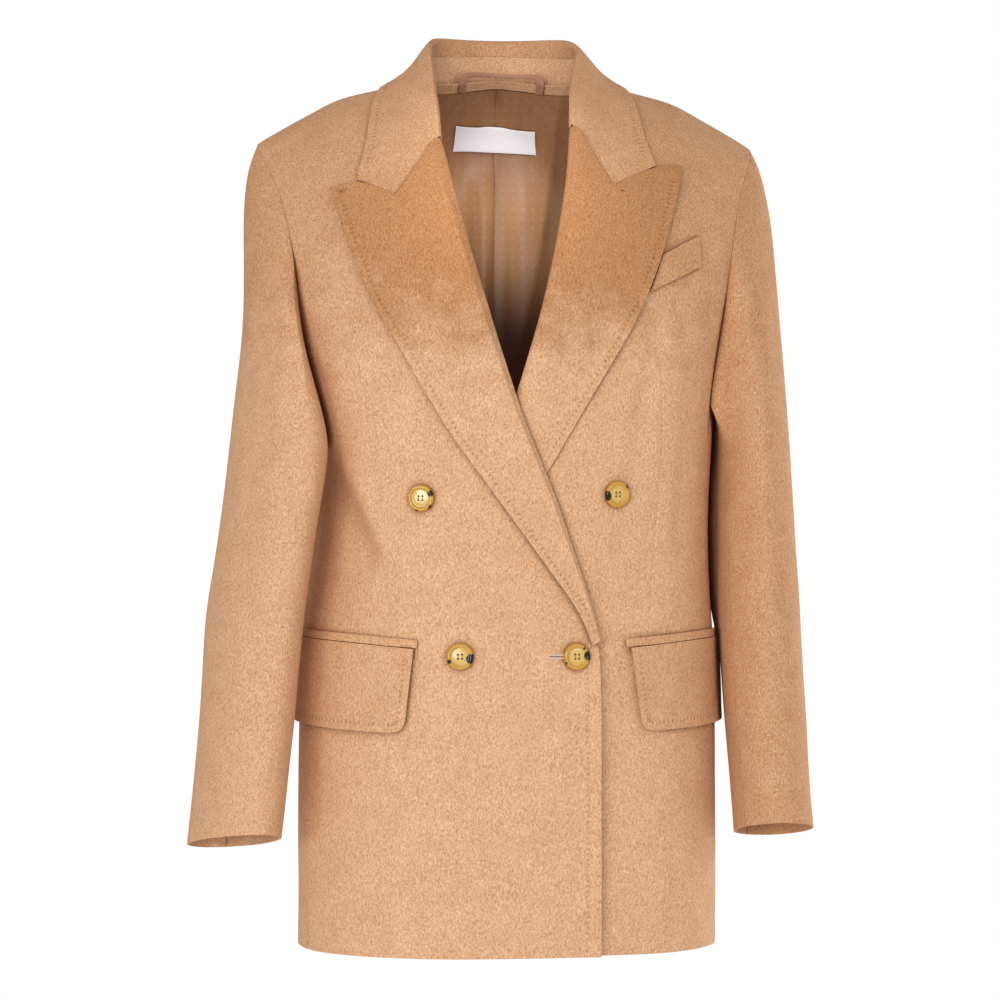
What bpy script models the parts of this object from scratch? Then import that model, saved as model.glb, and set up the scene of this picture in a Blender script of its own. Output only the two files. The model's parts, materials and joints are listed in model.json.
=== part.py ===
"""Double breasted blazer as it is worn, hollow, with peak lapels and two-piece sleeves.

Run it with: blender --background --python part.py

Metres, +Z up. +X is the wearer's left, -Y the front. The origin is the middle of the neck base,
level with the shoulder seams' inner ends. "Out" is a distance from the centre line towards the
side that a piece belongs to, and is negative where a piece laps past the centre. "Lift" is a
distance from the body's surface, positive outwards.

The body is one surface: oval sections up to the armpit, closed along the shoulder seams above it.
Every panel is a grid on that surface, and what lies on a panel is made from the same surface.
"""

import math
from typing import NamedTuple

import bmesh
import bpy
from mathutils import Vector
from mathutils.bvhtree import BVHTree

RIGHT, LEFT = -1, 1  # the wearer's sides, as signs of X
SIDE_NAMES = {RIGHT: "right", LEFT: "left"}

CLOTH = 0.0022
THIN_CLOTH = 0.0018
LINING = 0.0010
SEAM_GAP = 0.0003
LAYER_GAP = 0.0004

HEM = -0.766
ARMPIT = -0.285
ARMPIT_DIP = 0.008
BREAK = -0.498  # where the roll line meets the front edge
CROSSING = -0.277  # where one roll line passes over the other
LAP = 0.0695  # from the centre line to a front edge
NECK_OUT = 0.0745  # half the width of the neck at the shoulder seams
NAPE = 0.0150  # height of the neck seam at the centre back
UNDERLAP = 0.0058  # how far the under front lies below the upper one

ROUNDNESS = 2.3  # exponent of the oval sections
SHOULDER_ROUNDNESS = 1.65
FRONT_CLOSING = 0.165  # height over which the front closes up to the shoulder seam
NAPE_CLOSING = 0.060
BACK_CLOSING = 0.150
BACK_CLOSING_OUT = 0.150

FRONT_COLUMNS = 14
BACK_COLUMNS = 12
BACK_COLUMN_POWER = 1.15
SIDE_COLUMNS = 4
UPPER_ROWS = 9
UPPER_ROW_POWER = 1.8


class Section(NamedTuple):
    height: float
    right_width: float
    left_width: float
    front_depth: float
    back_depth: float


# Half-widths and depths from the centre. Above the armpit the widths are those that the chest
# would have if it went on past the armholes.
SECTIONS = (
    Section(-0.766, 0.1875, 0.1900, 0.125, 0.118),
    Section(-0.660, 0.1875, 0.1900, 0.127, 0.120),
    Section(-0.560, 0.1870, 0.1895, 0.127, 0.116),
    Section(-0.500, 0.1840, 0.1885, 0.126, 0.112),
    Section(-0.440, 0.1740, 0.1840, 0.125, 0.108),
    Section(-0.385, 0.1670, 0.1830, 0.127, 0.109),
    Section(-0.330, 0.1690, 0.1860, 0.130, 0.112),
    Section(-0.285, 0.1780, 0.1890, 0.133, 0.115),
    Section(-0.250, 0.1900, 0.1940, 0.134, 0.117),
    Section(-0.222, 0.2020, 0.2030, 0.133, 0.117),
    Section(-0.150, 0.2250, 0.2250, 0.130, 0.116),
    Section(-0.090, 0.2380, 0.2380, 0.127, 0.111),
    Section(-0.030, 0.2500, 0.2500, 0.123, 0.1035),
    Section(0.030, 0.2600, 0.2600, 0.118, 0.0960),
)


class RidgePoint(NamedTuple):
    out: float
    height: float


SHOULDER_RIDGE = (
    RidgePoint(0.000, 0.0450),
    RidgePoint(0.030, 0.0385),
    RidgePoint(0.055, 0.0230),
    RidgePoint(NECK_OUT, 0.0085),
    RidgePoint(0.105, 0.0000),
    RidgePoint(0.150, -0.0115),
    RidgePoint(0.175, -0.0245),
    RidgePoint(0.200, -0.0385),
    RidgePoint(0.225, -0.0540),
    RidgePoint(0.250, -0.0800),
)


class RollPoint(NamedTuple):
    height: float
    right_out: float
    left_out: float


# The inner edge of each front: the neck under the collar, then the roll line down to the break,
# then the front edge.
ROLL_LINE = (
    RollPoint(HEM, -LAP, -LAP),
    RollPoint(-0.577, -LAP, -LAP),
    RollPoint(-0.515, -0.0690, -0.0690),
    RollPoint(BREAK, -0.0682, -0.0682),
    RollPoint(-0.466, -0.0611, -0.0611),
    RollPoint(-0.426, -0.0478, -0.0480),
    RollPoint(-0.384, -0.0335, -0.0400),
    RollPoint(-0.351, -0.0219, -0.0290),
    RollPoint(-0.316, -0.0087, -0.0160),
    RollPoint(CROSSING, 0.0045, -0.0040),
    RollPoint(-0.2335, 0.0196, 0.0090),
    RollPoint(-0.2026, 0.0286, 0.0180),
    RollPoint(-0.1677, 0.0400, 0.0260),
    RollPoint(-0.1414, 0.0480, 0.0315),
    RollPoint(-0.1052, 0.0565, 0.0395),
    RollPoint(-0.0771, 0.0635, 0.0440),
    RollPoint(-0.0520, 0.0685, 0.0485),
    RollPoint(-0.0300, 0.0702, 0.0515),
    RollPoint(-0.0105, 0.0722, 0.0560),
    RollPoint(0.0085, NECK_OUT, NECK_OUT),
)


class ArmholePoint(NamedTuple):
    height: float
    front_out: float
    back_out: float


ARMHOLE = (
    ArmholePoint(-0.250, 0.1800, 0.1840),
    ArmholePoint(-0.226, 0.1852, 0.1890),
    ArmholePoint(-0.181, 0.1900, 0.1950),
    ArmholePoint(-0.159, 0.1930, 0.1980),
    ArmholePoint(-0.130, 0.1980, 0.2030),
    ArmholePoint(-0.106, 0.2030, 0.2080),
    ArmholePoint(-0.090, 0.2080, 0.2125),
    ArmholePoint(-0.075, 0.2150, 0.2170),
    ArmholePoint(-0.054, 0.2235, 0.2235),
)
TIP_OUT = ARMHOLE[-1].front_out


class SideSeam(NamedTuple):
    height: float
    front_angle: float
    back_angle: float


# Where the side panel is sewn in, in degrees round the section from the centre front.
SIDE_SEAMS = (
    SideSeam(HEM, 74.0, 118.0),
    SideSeam(-0.500, 73.0, 117.0),
    SideSeam(ARMPIT, 69.0, 113.0),
)

LEVELS = (HEM, -0.710, -0.650, -0.590, -0.540, BREAK, -0.460, -0.420, -0.380, -0.345, -0.315, ARMPIT)


class Fold(NamedTuple):
    start_x: float
    start_height: float
    end_x: float
    end_height: float
    breadth: float
    lift: float
    on_back: bool


# Soft folds and hollows of the hanging cloth.
FOLDS = (
    Fold(-0.150, -0.270, -0.118, -0.440, 0.026, 0.0050, False),
    Fold(-0.160, -0.350, -0.148, -0.455, 0.022, -0.0050, False),
    Fold(0.098, -0.400, 0.062, -0.435, 0.016, 0.0022, False),
    Fold(0.106, -0.290, 0.120, -0.230, 0.018, 0.0020, False),
    Fold(-0.060, -0.620, -0.070, -0.766, 0.035, 0.0022, False),
    Fold(0.125, -0.640, 0.130, -0.766, 0.030, 0.0022, False),
    Fold(-0.110, -0.180, -0.070, -0.400, 0.030, 0.0030, True),
    Fold(0.110, -0.180, 0.075, -0.400, 0.030, 0.0030, True),
    Fold(-0.085, -0.520, -0.095, -0.766, 0.035, 0.0030, True),
    Fold(0.085, -0.540, 0.095, -0.766, 0.035, 0.0030, True),
)


def between(a, b, fraction):
    return a + (b - a) * fraction


def ramp(value, start, end):
    """0 at start, 1 at end, and smooth between them."""
    fraction = min(max((value - start) / (end - start), 0.0), 1.0)
    return fraction * fraction * (3.0 - 2.0 * fraction)


def read_table(rows, key, column, at):
    """A smooth value between the rows of a table that is sorted by its key column."""
    keys = [getattr(row, key) for row in rows]
    values = [getattr(row, column) for row in rows]
    if at <= keys[0]:
        return values[0]
    if at >= keys[-1]:
        return values[-1]
    index = max(i for i, value in enumerate(keys) if value <= at)
    slopes = [(values[i + 1] - values[i]) / (keys[i + 1] - keys[i]) for i in range(len(keys) - 1)]

    def tangent(i):
        if i in (0, len(keys) - 1):
            return slopes[0] if i == 0 else slopes[-1]
        before, after = slopes[i - 1], slopes[i]
        return 0.0 if before * after <= 0.0 else 2.0 * before * after / (before + after)

    step = keys[index + 1] - keys[index]
    t = (at - keys[index]) / step
    return (
        (2 * t**3 - 3 * t**2 + 1) * values[index]
        + (t**3 - 2 * t**2 + t) * step * tangent(index)
        + (3 * t**2 - 2 * t**3) * values[index + 1]
        + (t**3 - t**2) * step * tangent(index + 1)
    )


# The body's surface


def half_width(side, height):
    return read_table(SECTIONS, "height", SIDE_NAMES[side] + "_width", height)


def ridge_height(out):
    return read_table(SHOULDER_RIDGE, "out", "height", abs(out))


def section_depth(back, height):
    return read_table(SECTIONS, "height", "back_depth" if back else "front_depth", height)


def closing_height(out, back):
    if not back:
        return FRONT_CLOSING
    return between(NAPE_CLOSING, BACK_CLOSING, min(abs(out) / BACK_CLOSING_OUT, 1.0))


def closing(out, height, back):
    """How much of the section's depth is left this close to the shoulder seam, from 0 to 1."""
    drop = (ridge_height(out) - height) / closing_height(out, back)
    drop = min(max(drop, 0.0), 1.0)
    return (1.0 - (1.0 - drop) ** SHOULDER_ROUNDNESS) ** (1.0 / SHOULDER_ROUNDNESS)


def surface_y(x, height, back):
    across = min(abs(x) / half_width(RIGHT if x < 0 else LEFT, height), 1.0)
    oval = (1.0 - across**ROUNDNESS) ** (1.0 / ROUNDNESS)
    depth = section_depth(back, height) * oval * closing(x, height, back)
    return depth if back else -depth


def outside(point):
    """1 on the body's surface, less inside it and more outside."""
    back = point.y > 0.0
    width = half_width(RIGHT if point.x < 0 else LEFT, point.z)
    depth = section_depth(back, point.z)
    drop = (ridge_height(point.x) - point.z) / closing_height(point.x, back)
    if drop >= 0.75:
        flat = abs(point.y) / (depth * closing(point.x, point.z, back))
        return (flat**ROUNDNESS + (abs(point.x) / width) ** ROUNDNESS) ** (1.0 / ROUNDNESS)
    across = min(abs(point.x) / width, 0.995)
    flat = abs(point.y) / (depth * (1.0 - across**ROUNDNESS) ** (1.0 / ROUNDNESS))
    top = max(1.0 - drop, 0.0)
    return (flat**SHOULDER_ROUNDNESS + top**SHOULDER_ROUNDNESS) ** (1.0 / SHOULDER_ROUNDNESS)


def gradient(point):
    step = 0.0004
    axes = (Vector((step, 0, 0)), Vector((0, step, 0)), Vector((0, 0, step)))
    return Vector([(outside(point + axis) - outside(point - axis)) / (2 * step) for axis in axes])


def body_normal(point):
    return gradient(point).normalized()


def seated(point, lift):
    """The point moved along the surface's normal until it is this far from the surface."""
    for _ in range(6):
        slope = gradient(point)
        distance = (outside(point) - 1.0) / slope.length
        point = point + slope.normalized() * (lift - distance)
    return point


def relief(x, height, back):
    """How far the folds raise the cloth at this place."""
    total = 0.0
    for fold in FOLDS:
        if fold.on_back != back:
            continue
        start = Vector((fold.start_x, fold.start_height))
        along = Vector((fold.end_x, fold.end_height)) - start
        here = Vector((x, height)) - start
        fraction = min(max(here.dot(along) / along.length_squared, 0.0), 1.0)
        away = (here - along * fraction).length / fold.breadth
        total += fold.lift * math.exp(-away * away)
    return total


def on_body(side, angle, height, lift=0.0):
    """A point at this angle from the centre front, 180 degrees being the centre back."""
    turn = math.radians(angle)
    back = angle > 90.0
    x = side * half_width(side, height) * math.sin(turn)
    base = Vector((x, surface_y(x, height, back), height))
    return base + body_normal(base) * (lift + relief(x, height, back))


def angle_of(side, out, height, back=False):
    angle = math.degrees(math.asin(min(max(out / half_width(side, height), -1.0), 1.0)))
    return 180.0 - angle if back else angle


def at_height(x, height, back, lift):
    base = Vector((x, surface_y(x, height, back), height))
    return base + body_normal(base) * (lift + relief(x, height, back))


def on_front(x, height, lift=0.0):
    return at_height(x, height, False, lift)


def on_back(x, height, lift=0.0):
    return at_height(x, height, True, lift)


# Meshes


def material(name, colour, roughness):
    made = bpy.data.materials.new(name)
    made.use_nodes = True
    shader = made.node_tree.nodes["Principled BSDF"]
    shader.inputs["Base Color"].default_value = (*colour, 1.0)
    shader.inputs["Roughness"].default_value = roughness
    shader.inputs["Metallic"].default_value = 0.0
    return made


def make_materials():
    return {
        "wool": material("camel_wool", (0.64, 0.37, 0.20), 0.85),
        "lining": material("lining_satin", (0.30, 0.15, 0.08), 0.45),
        "horn": material("horn_button", (0.62, 0.40, 0.12), 0.30),
        "label": material("label_satin", (0.82, 0.80, 0.84), 0.45),
    }


def add_object(name, bm, finish):
    bmesh.ops.recalc_face_normals(bm, faces=bm.faces)
    mesh = bpy.data.meshes.new(name)
    bm.to_mesh(mesh)
    bm.free()
    mesh.shade_smooth()
    mesh.set_sharp_from_angle(angle=math.radians(40))
    if finish:
        mesh.materials.append(finish)
    made = bpy.data.objects.new(name, mesh)
    bpy.context.scene.collection.objects.link(made)
    return made


def drawn_in(grid, gap=SEAM_GAP / 2):
    """The same grid with its outer rows and columns moved in by half a seam's gap."""
    rows = [list(row) for row in grid]

    def step(point, towards):
        return point + (towards - point).normalized() * gap

    for row in rows:
        row[0] = step(row[0], row[1])
        row[-1] = step(row[-1], row[-2])
    rows[0] = [step(a, b) for a, b in zip(rows[0], rows[1])]
    rows[-1] = [step(a, b) for a, b in zip(rows[-1], rows[-2])]
    return rows


def wall(name, outer, inner, finish):
    """One closed body between two grids of points that match one to one.

    The rim is cut into triangles by height, so that two pieces cut it alike along their seam.
    """
    bm = bmesh.new()
    skins = [[[bm.verts.new(point) for point in row] for row in grid] for grid in (outer, inner)]
    last_row, last_column = len(outer) - 1, len(outer[0]) - 1
    for skin in skins:
        for r in range(last_row):
            for c in range(last_column):
                bm.faces.new((skin[r][c], skin[r][c + 1], skin[r + 1][c + 1], skin[r + 1][c]))
    rim = [(0, c) for c in range(last_column)]
    rim += [(r, last_column) for r in range(last_row)]
    rim += [(last_row, c) for c in range(last_column, 0, -1)]
    rim += [(r, 0) for r in range(last_row, 0, -1)]
    for (r0, c0), (r1, c1) in zip(rim, rim[1:] + rim[:1]):
        near, far = (skins[0][r0][c0], skins[1][r0][c0]), (skins[0][r1][c1], skins[1][r1][c1])
        if (near[0].co.z, near[0].co.x, near[0].co.y) > (far[0].co.z, far[0].co.x, far[0].co.y):
            near, far = far, near
        bm.faces.new((near[0], far[0], far[1]))
        bm.faces.new((near[0], far[1], near[1]))
    return add_object(name, bm, finish)


# Panels


def roll_out(side, height):
    return read_table(ROLL_LINE, "height", SIDE_NAMES[side] + "_out", height)


def seam_angle(back, height):
    return read_table(SIDE_SEAMS, "height", "back_angle" if back else "front_angle", height)


def armhole_angle(side, back, height):
    """The panel's outer edge above the armpit, from the side seam up to the shoulder tip."""
    if height <= ARMPIT:
        return seam_angle(back, height)
    first = ARMHOLE[0]
    if height >= first.height:
        out = read_table(ARMHOLE, "height", "back_out" if back else "front_out", height)
        return angle_of(side, out, height, back)
    top_angle = angle_of(side, first.back_out if back else first.front_out, first.height, back)
    fraction = (height - ARMPIT) / (first.height - ARMPIT)
    return between(seam_angle(back, ARMPIT), top_angle, fraction)


def neck_drop(out):
    """How far the back neckline lies below the line of the shoulder seams."""
    return (ridge_height(0.0) - NAPE) * max(1.0 - (abs(out) / NECK_OUT) ** 3, 0.0)


def panel_top(out, back):
    return ridge_height(out) - (neck_drop(out) if back else 0.0)


def column_shares(back):
    """How far across the panel each column lies, closer together towards the back neck."""
    if back:
        return [(c / BACK_COLUMNS) ** BACK_COLUMN_POWER for c in range(BACK_COLUMNS + 1)]
    return [c / FRONT_COLUMNS for c in range(FRONT_COLUMNS + 1)]


def upper_row(side, back, inner, outer, share):
    """One row of (angle, height). inner and outer are such pairs, and share bends it to the top."""
    outs = [half_width(side, h) * math.sin(math.radians(a)) for a, h in (inner, outer)]
    tops = [panel_top(out, back) for out in outs]
    row = []
    for fraction in column_shares(back):
        angle = between(inner[0], outer[0], fraction)
        straight = between(inner[1], outer[1], fraction)
        height = straight
        for _ in range(8):
            out = half_width(side, height) * math.sin(math.radians(angle))
            height = straight + share * (panel_top(out, back) - between(*tops, fraction))
        row.append((angle, height))
    return row


def front_places(side):
    """The front's grid as (angle, height) pairs, from the hem up."""
    rows = []
    for height in LEVELS:
        inner = angle_of(side, roll_out(side, height), height)
        outer = seam_angle(False, height)
        rows.append([(between(inner, outer, fraction), height) for fraction in column_shares(False)])
    neck_top, tip_top = ridge_height(NECK_OUT), ridge_height(TIP_OUT)
    for r in range(1, UPPER_ROWS + 1):
        share = (1.0 - r / UPPER_ROWS) ** UPPER_ROW_POWER
        low, high = between(neck_top, ARMPIT, share), between(tip_top, ARMPIT, share)
        inner = (angle_of(side, roll_out(side, low), low), low)
        outer = (armhole_angle(side, False, high), high)
        rows.append(upper_row(side, False, inner, outer, 1.0 - share))
    return rows


def back_places(side):
    rows = []
    for height in LEVELS:
        outer = seam_angle(True, height)
        rows.append([(between(180.0, outer, fraction), height) for fraction in column_shares(True)])
    for r in range(1, UPPER_ROWS + 1):
        share = (1.0 - r / UPPER_ROWS) ** UPPER_ROW_POWER
        low, high = between(NAPE, ARMPIT, share), between(ridge_height(TIP_OUT), ARMPIT, share)
        outer = (armhole_angle(side, True, high), high)
        rows.append(upper_row(side, True, (180.0, low), outer, 1.0 - share))
    return rows


def side_places():
    rows = []
    for height in LEVELS:
        ends = seam_angle(False, height), seam_angle(True, height)
        rows.append([(between(*ends, c / SIDE_COLUMNS), height) for c in range(SIDE_COLUMNS + 1)])
    rows[-1] = [
        (angle, height - ARMPIT_DIP * math.sin(math.pi * c / SIDE_COLUMNS))
        for c, (angle, height) in enumerate(rows[-1])
    ]
    return rows


def armhole_loop(side):
    """The armhole's points, from the shoulder tip down the front and up the back."""
    first_upper = len(LEVELS) - 1
    front = [row[-1] for row in front_places(side)[first_upper:]][::-1]
    under = side_places()[-1][1:-1]
    back = [row[-1] for row in back_places(side)[first_upper:]][:-1]
    return [on_body(side, angle, height) for angle, height in front + under + back]


# Sleeves


class SleeveRing(NamedTuple):
    height: float
    centre_out: float
    centre_y: float
    half_width: float
    half_depth: float
    turn: float  # degrees that the sleeve's front is turned towards the body


SLEEVES = {
    RIGHT: (
        SleeveRing(-0.667, 0.2457, -0.075, 0.0360, 0.0630, 22.0),
        SleeveRing(-0.630, 0.2415, -0.070, 0.0357, 0.0640, 22.0),
        SleeveRing(-0.563, 0.2341, -0.062, 0.0357, 0.0660, 22.0),
        SleeveRing(-0.480, 0.2279, -0.055, 0.0361, 0.0710, 22.0),
        SleeveRing(-0.400, 0.2156, -0.050, 0.0345, 0.0735, 22.0),
        SleeveRing(-0.335, 0.2065, -0.044, 0.0350, 0.0770, 22.0),
    ),
    LEFT: (
        SleeveRing(-0.662, 0.2318, -0.068, 0.0350, 0.0590, 2.0),
        SleeveRing(-0.630, 0.2300, -0.062, 0.0345, 0.0610, 2.0),
        SleeveRing(-0.563, 0.2269, -0.052, 0.0359, 0.0640, 2.0),
        SleeveRing(-0.480, 0.2237, -0.040, 0.0363, 0.0670, 2.0),
        SleeveRing(-0.400, 0.2222, -0.030, 0.0346, 0.0710, 2.0),
        SleeveRing(-0.335, 0.2215, -0.022, 0.0325, 0.0740, 2.0),
    ),
}
CUFF_TILT = 0.19  # the back of the cuff is lower, as the forearm reaches forward
CAP_ROWS = 6
CAP_ROW_POWER = 1.5
SLEEVE_SEAM_GAP = 0.0004
SLEEVE_ROWS = 9
FRONT_SEAM_TURN = 142.0  # degrees round the sleeve from its outer side, by way of the front
BACK_SEAM_TURN = 248.0
CAP_ROUND_OUT = 0.05
CAP_ROUND_UP = 0.03
HEAD_PUFF = 0.0062  # how far the sleeve head stands out just below the shoulder
HEAD_PUFF_AT = 0.13  # share of the way down to the first ring where it does


def sleeve_size(side, column, height):
    return read_table(SLEEVES[side], "height", column, height)


def sleeve_point(side, turn, height, tilt):
    """A point at this angle round the sleeve: 0 is its outer side, 90 the front, 180 inside."""
    own_turn = math.radians(sleeve_size(side, "turn", height))
    outwards = Vector((side * math.cos(own_turn), -math.sin(own_turn), 0.0))
    forwards = Vector((-side * math.sin(own_turn), -math.cos(own_turn), 0.0))
    angle = math.radians(turn)
    offset = outwards * (sleeve_size(side, "half_width", height) * math.cos(angle))
    offset += forwards * (sleeve_size(side, "half_depth", height) * math.sin(angle))
    centre_x = side * sleeve_size(side, "centre_out", height)
    centre = Vector((centre_x, sleeve_size(side, "centre_y", height), height))
    return centre + offset - Vector((0.0, 0.0, tilt * offset.y))


def loop_turns(loop):
    """How far round the sleeve each armhole point lies, by its share of the armhole's length."""
    lengths = [(b - a).length for a, b in zip(loop, loop[1:] + loop[:1])]
    total = sum(lengths)
    return [360.0 * sum(lengths[:k]) / total for k in range(len(loop))]


def head_puff(turn, fraction):
    near_top = (0.5 + 0.5 * math.cos(math.radians(turn))) ** 2
    down = fraction / HEAD_PUFF_AT
    return HEAD_PUFF * near_top * down * math.exp(1.0 - down)


def cap_point(side, start, normal, turn, fraction):
    """A point between the armhole and the sleeve's first ring, on one smooth curve."""
    top = SLEEVES[side][-1].height
    end = sleeve_point(side, turn, top, 0.0)
    below = sleeve_point(side, turn, top - 0.03, 0.0)
    span = (end - start).length
    outwards = Vector((side, 0.0, 0.0)) * (0.5 + 0.5 * math.cos(math.radians(turn)))
    leaning = (end - start) / span * 0.6 + outwards * CAP_ROUND_OUT + normal * CAP_ROUND_UP
    leave = leaning.normalized() * span
    arrive = (below - end).normalized() * span
    t = fraction
    return (
        start * (2 * t**3 - 3 * t**2 + 1)
        + leave * (t**3 - 2 * t**2 + t)
        + end * (3 * t**2 - 2 * t**3)
        + arrive * (t**3 - t**2)
        + Vector((side * head_puff(turn, t), 0.0, 0.0))
    )


def sleeve_grid(side):
    """The whole sleeve's outer points, ring by ring, as if it had no seams."""
    loop = armhole_loop(side)
    turns = loop_turns(loop)
    normals = [body_normal(point) for point in loop]
    rings = [loop]
    for r in range(1, CAP_ROWS + 1):
        fraction = (r / CAP_ROWS) ** CAP_ROW_POWER
        rings.append([cap_point(side, *known, fraction) for known in zip(loop, normals, turns)])
    top, cuff = SLEEVES[side][-1].height, SLEEVES[side][0].height
    for r in range(1, SLEEVE_ROWS + 1):
        share = r / SLEEVE_ROWS
        height = between(top, cuff, share)
        rings.append([sleeve_point(side, turn, height, CUFF_TILT * share**2) for turn in turns])
    return rings


def ring_normals(rings):
    count = len(rings[0])
    normals = []
    for r, ring in enumerate(rings):
        centre = sum(ring, Vector()) / count
        line = []
        for c, point in enumerate(ring):
            along = ring[(c + 1) % count] - ring[c - 1]
            down = rings[min(r + 1, len(rings) - 1)][c] - rings[max(r - 1, 0)][c]
            normal = along.cross(down).normalized()
            line.append(-normal if normal.dot(point - centre) < 0.0 else normal)
        normals.append(line)
    return normals


def mitred(point, one, other):
    """The wall's inner point at a seam whose two walls face one and other."""
    return point - (one + other) * (CLOTH / max(1.0 + one.dot(other), 0.5))


def armhole_inner(side):
    rings = sleeve_grid(side)
    normals = ring_normals(rings[:3])[0]
    return [mitred(point, body_normal(point), normal) for point, normal in zip(rings[0], normals)]


def sleeves(side, finish):
    rings = sleeve_grid(side)
    normals = ring_normals(rings)
    inner = [[point - normal * CLOTH for point, normal in zip(*lines)] for lines in zip(rings, normals)]
    inner[0] = armhole_inner(side)
    turns = loop_turns(rings[0])
    front = min(range(len(turns)), key=lambda k: abs(turns[k] - FRONT_SEAM_TURN))
    back = min(range(len(turns)), key=lambda k: abs(turns[k] - BACK_SEAM_TURN))
    count = len(turns)
    columns = {
        "top": [k % count for k in range(back, count + front + 1)],
        "under": list(range(front, back + 1)),
    }
    for piece, kept in columns.items():
        grids = [[[ring[k] for k in kept] for ring in skin] for skin in (rings, inner)]
        grids = [drawn_in(grid, SLEEVE_SEAM_GAP / 2) for grid in grids]
        wall(f"{SIDE_NAMES[side]}_{piece}_sleeve", *grids, finish)


# Body panels


def under_lift(x, height):
    """How far the wearer's left front is pressed in under the right one."""
    across = 1.0 - ramp(x, 0.085, 0.140)
    down = 1.0 - ramp(height, -0.285, -0.190)
    return -UNDERLAP * across * down


def panel_skins(side, places, lift_of=None):
    skins = []
    for depth in (0.0, CLOTH):
        rows = []
        for row in places:
            line = []
            for angle, height in row:
                x = side * half_width(side, height) * math.sin(math.radians(angle))
                lift = lift_of(x, height) if lift_of else 0.0
                line.append(on_body(side, angle, height, lift - depth))
            rows.append(line)
        skins.append(rows)
    return skins


def body_panels(side, finish):
    name = SIDE_NAMES[side]
    mitres = armhole_inner(side)
    first_upper = len(LEVELS) - 1

    lift_of = under_lift if side == LEFT else None
    outer, inner = panel_skins(side, front_places(side), lift_of)
    for k in range(UPPER_ROWS + 1):
        inner[-1 - k][-1] = mitres[k]
    wall(f"{name}_front", drawn_in(outer), drawn_in(inner), finish)

    outer, inner = panel_skins(side, side_places())
    for c in range(SIDE_COLUMNS + 1):
        inner[-1][c] = mitres[UPPER_ROWS + c]
    wall(f"{name}_side_panel", drawn_in(outer), drawn_in(inner), finish)

    outer, inner = panel_skins(side, back_places(side))
    back_start = UPPER_ROWS + SIDE_COLUMNS
    for k in range(UPPER_ROWS + 1):
        inner[first_upper + k][-1] = mitres[(back_start + k) % len(mitres)]
    wall(f"{name}_back", drawn_in(outer), drawn_in(inner), finish)


# Lapels


class LapelRow(NamedTuple):
    roll_height: float
    edge_out: float
    edge_height: float


# Each row runs from the roll line to the lapel's outer edge. The last one bends along the gorge
# and the notch, given as GORGE, and ends at the peak.
LAPELS = {
    RIGHT: (
        LapelRow(-0.4920, -0.0610, -0.4960),
        LapelRow(-0.4740, -0.0520, -0.4690),
        LapelRow(-0.4450, -0.0330, -0.4430),
        LapelRow(-0.4100, -0.0058, -0.4045),
        LapelRow(-0.3780, 0.0125, -0.3795),
        LapelRow(-0.3400, 0.0342, -0.3485),
        LapelRow(-0.3050, 0.0523, -0.3245),
        LapelRow(-0.2700, 0.0763, -0.2858),
        LapelRow(-0.2350, 0.1000, -0.2419),
        LapelRow(-0.1950, 0.1258, -0.1977),
        LapelRow(-0.1600, 0.1400, -0.1610),
        LapelRow(-0.1250, 0.1495, -0.1330),
        LapelRow(-0.0900, 0.1560, -0.1100),
        LapelRow(-0.0560, 0.1590, -0.0996),
    ),
    LEFT: (
        LapelRow(-0.4300, -0.0380, -0.4330),
        LapelRow(-0.4100, -0.0200, -0.4080),
        LapelRow(-0.3800, 0.0020, -0.3740),
        LapelRow(-0.3500, 0.0219, -0.3476),
        LapelRow(-0.3200, 0.0400, -0.3150),
        LapelRow(-0.2850, 0.0600, -0.2820),
        LapelRow(-0.2450, 0.0851, -0.2403),
        LapelRow(-0.2100, 0.1040, -0.2040),
        LapelRow(-0.1700, 0.1190, -0.1660),
        LapelRow(-0.1300, 0.1300, -0.1330),
        LapelRow(-0.0900, 0.1400, -0.0970),
        LapelRow(-0.0680, 0.1435, -0.0860),
        LapelRow(-0.0450, 0.1460, -0.0759),
    ),
}


class GorgePoint(NamedTuple):
    notch_out: float
    notch_height: float
    corner_out: float
    corner_height: float
    roll_height: float


GORGES = {
    RIGHT: GorgePoint(0.1058, -0.1060, 0.1385, -0.0926, -0.0560),
    LEFT: GorgePoint(0.0817, -0.0976, 0.1214, -0.0780, -0.0450),
}
LAPEL_COLUMNS = 7
NOTCH_COLUMN = 4
LAPEL_BEND_ROWS = 3  # rows over which the straight rows turn into the gorge line
LAPEL_BULGE = 0.0038
LAPEL_GAPS = {RIGHT: 0.0010, LEFT: 0.0013}


class RollProfile(NamedTuple):
    across: float
    lift: float


# The middle line of the lapel where it turns round the front's edge: distance from the roll line
# towards the armhole, and lift.
ROLL_TURN = (
    RollProfile(-0.00180, -0.00200),
    RollProfile(-0.00195, -0.00080),
    RollProfile(-0.00150, 0.00060),
    RollProfile(0.00010, 0.00180),
)


def roll_across(side, height):
    """Direction across the roll line at this height, as (out, height), towards the armhole."""
    step = 0.004
    rise = roll_out(side, height + step) - roll_out(side, height - step)
    return Vector((2 * step, -rise)).normalized()


def gorge_place(side, fraction):
    """A place on the line roll, notch, corner, peak, as (out, height)."""
    gorge, peak = GORGES[side], LAPELS[side][-1]
    roll = Vector((roll_out(side, gorge.roll_height), gorge.roll_height))
    notch = Vector((gorge.notch_out, gorge.notch_height))
    corner = Vector((gorge.corner_out, gorge.corner_height))
    tip = Vector((peak.edge_out, peak.edge_height))
    column = fraction * LAPEL_COLUMNS
    if column <= NOTCH_COLUMN:
        return roll.lerp(notch, column / NOTCH_COLUMN)
    if column <= LAPEL_COLUMNS - 1:
        return notch.lerp(corner, (column - NOTCH_COLUMN) / (LAPEL_COLUMNS - 1 - NOTCH_COLUMN))
    return corner.lerp(tip, column - (LAPEL_COLUMNS - 1))


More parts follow.
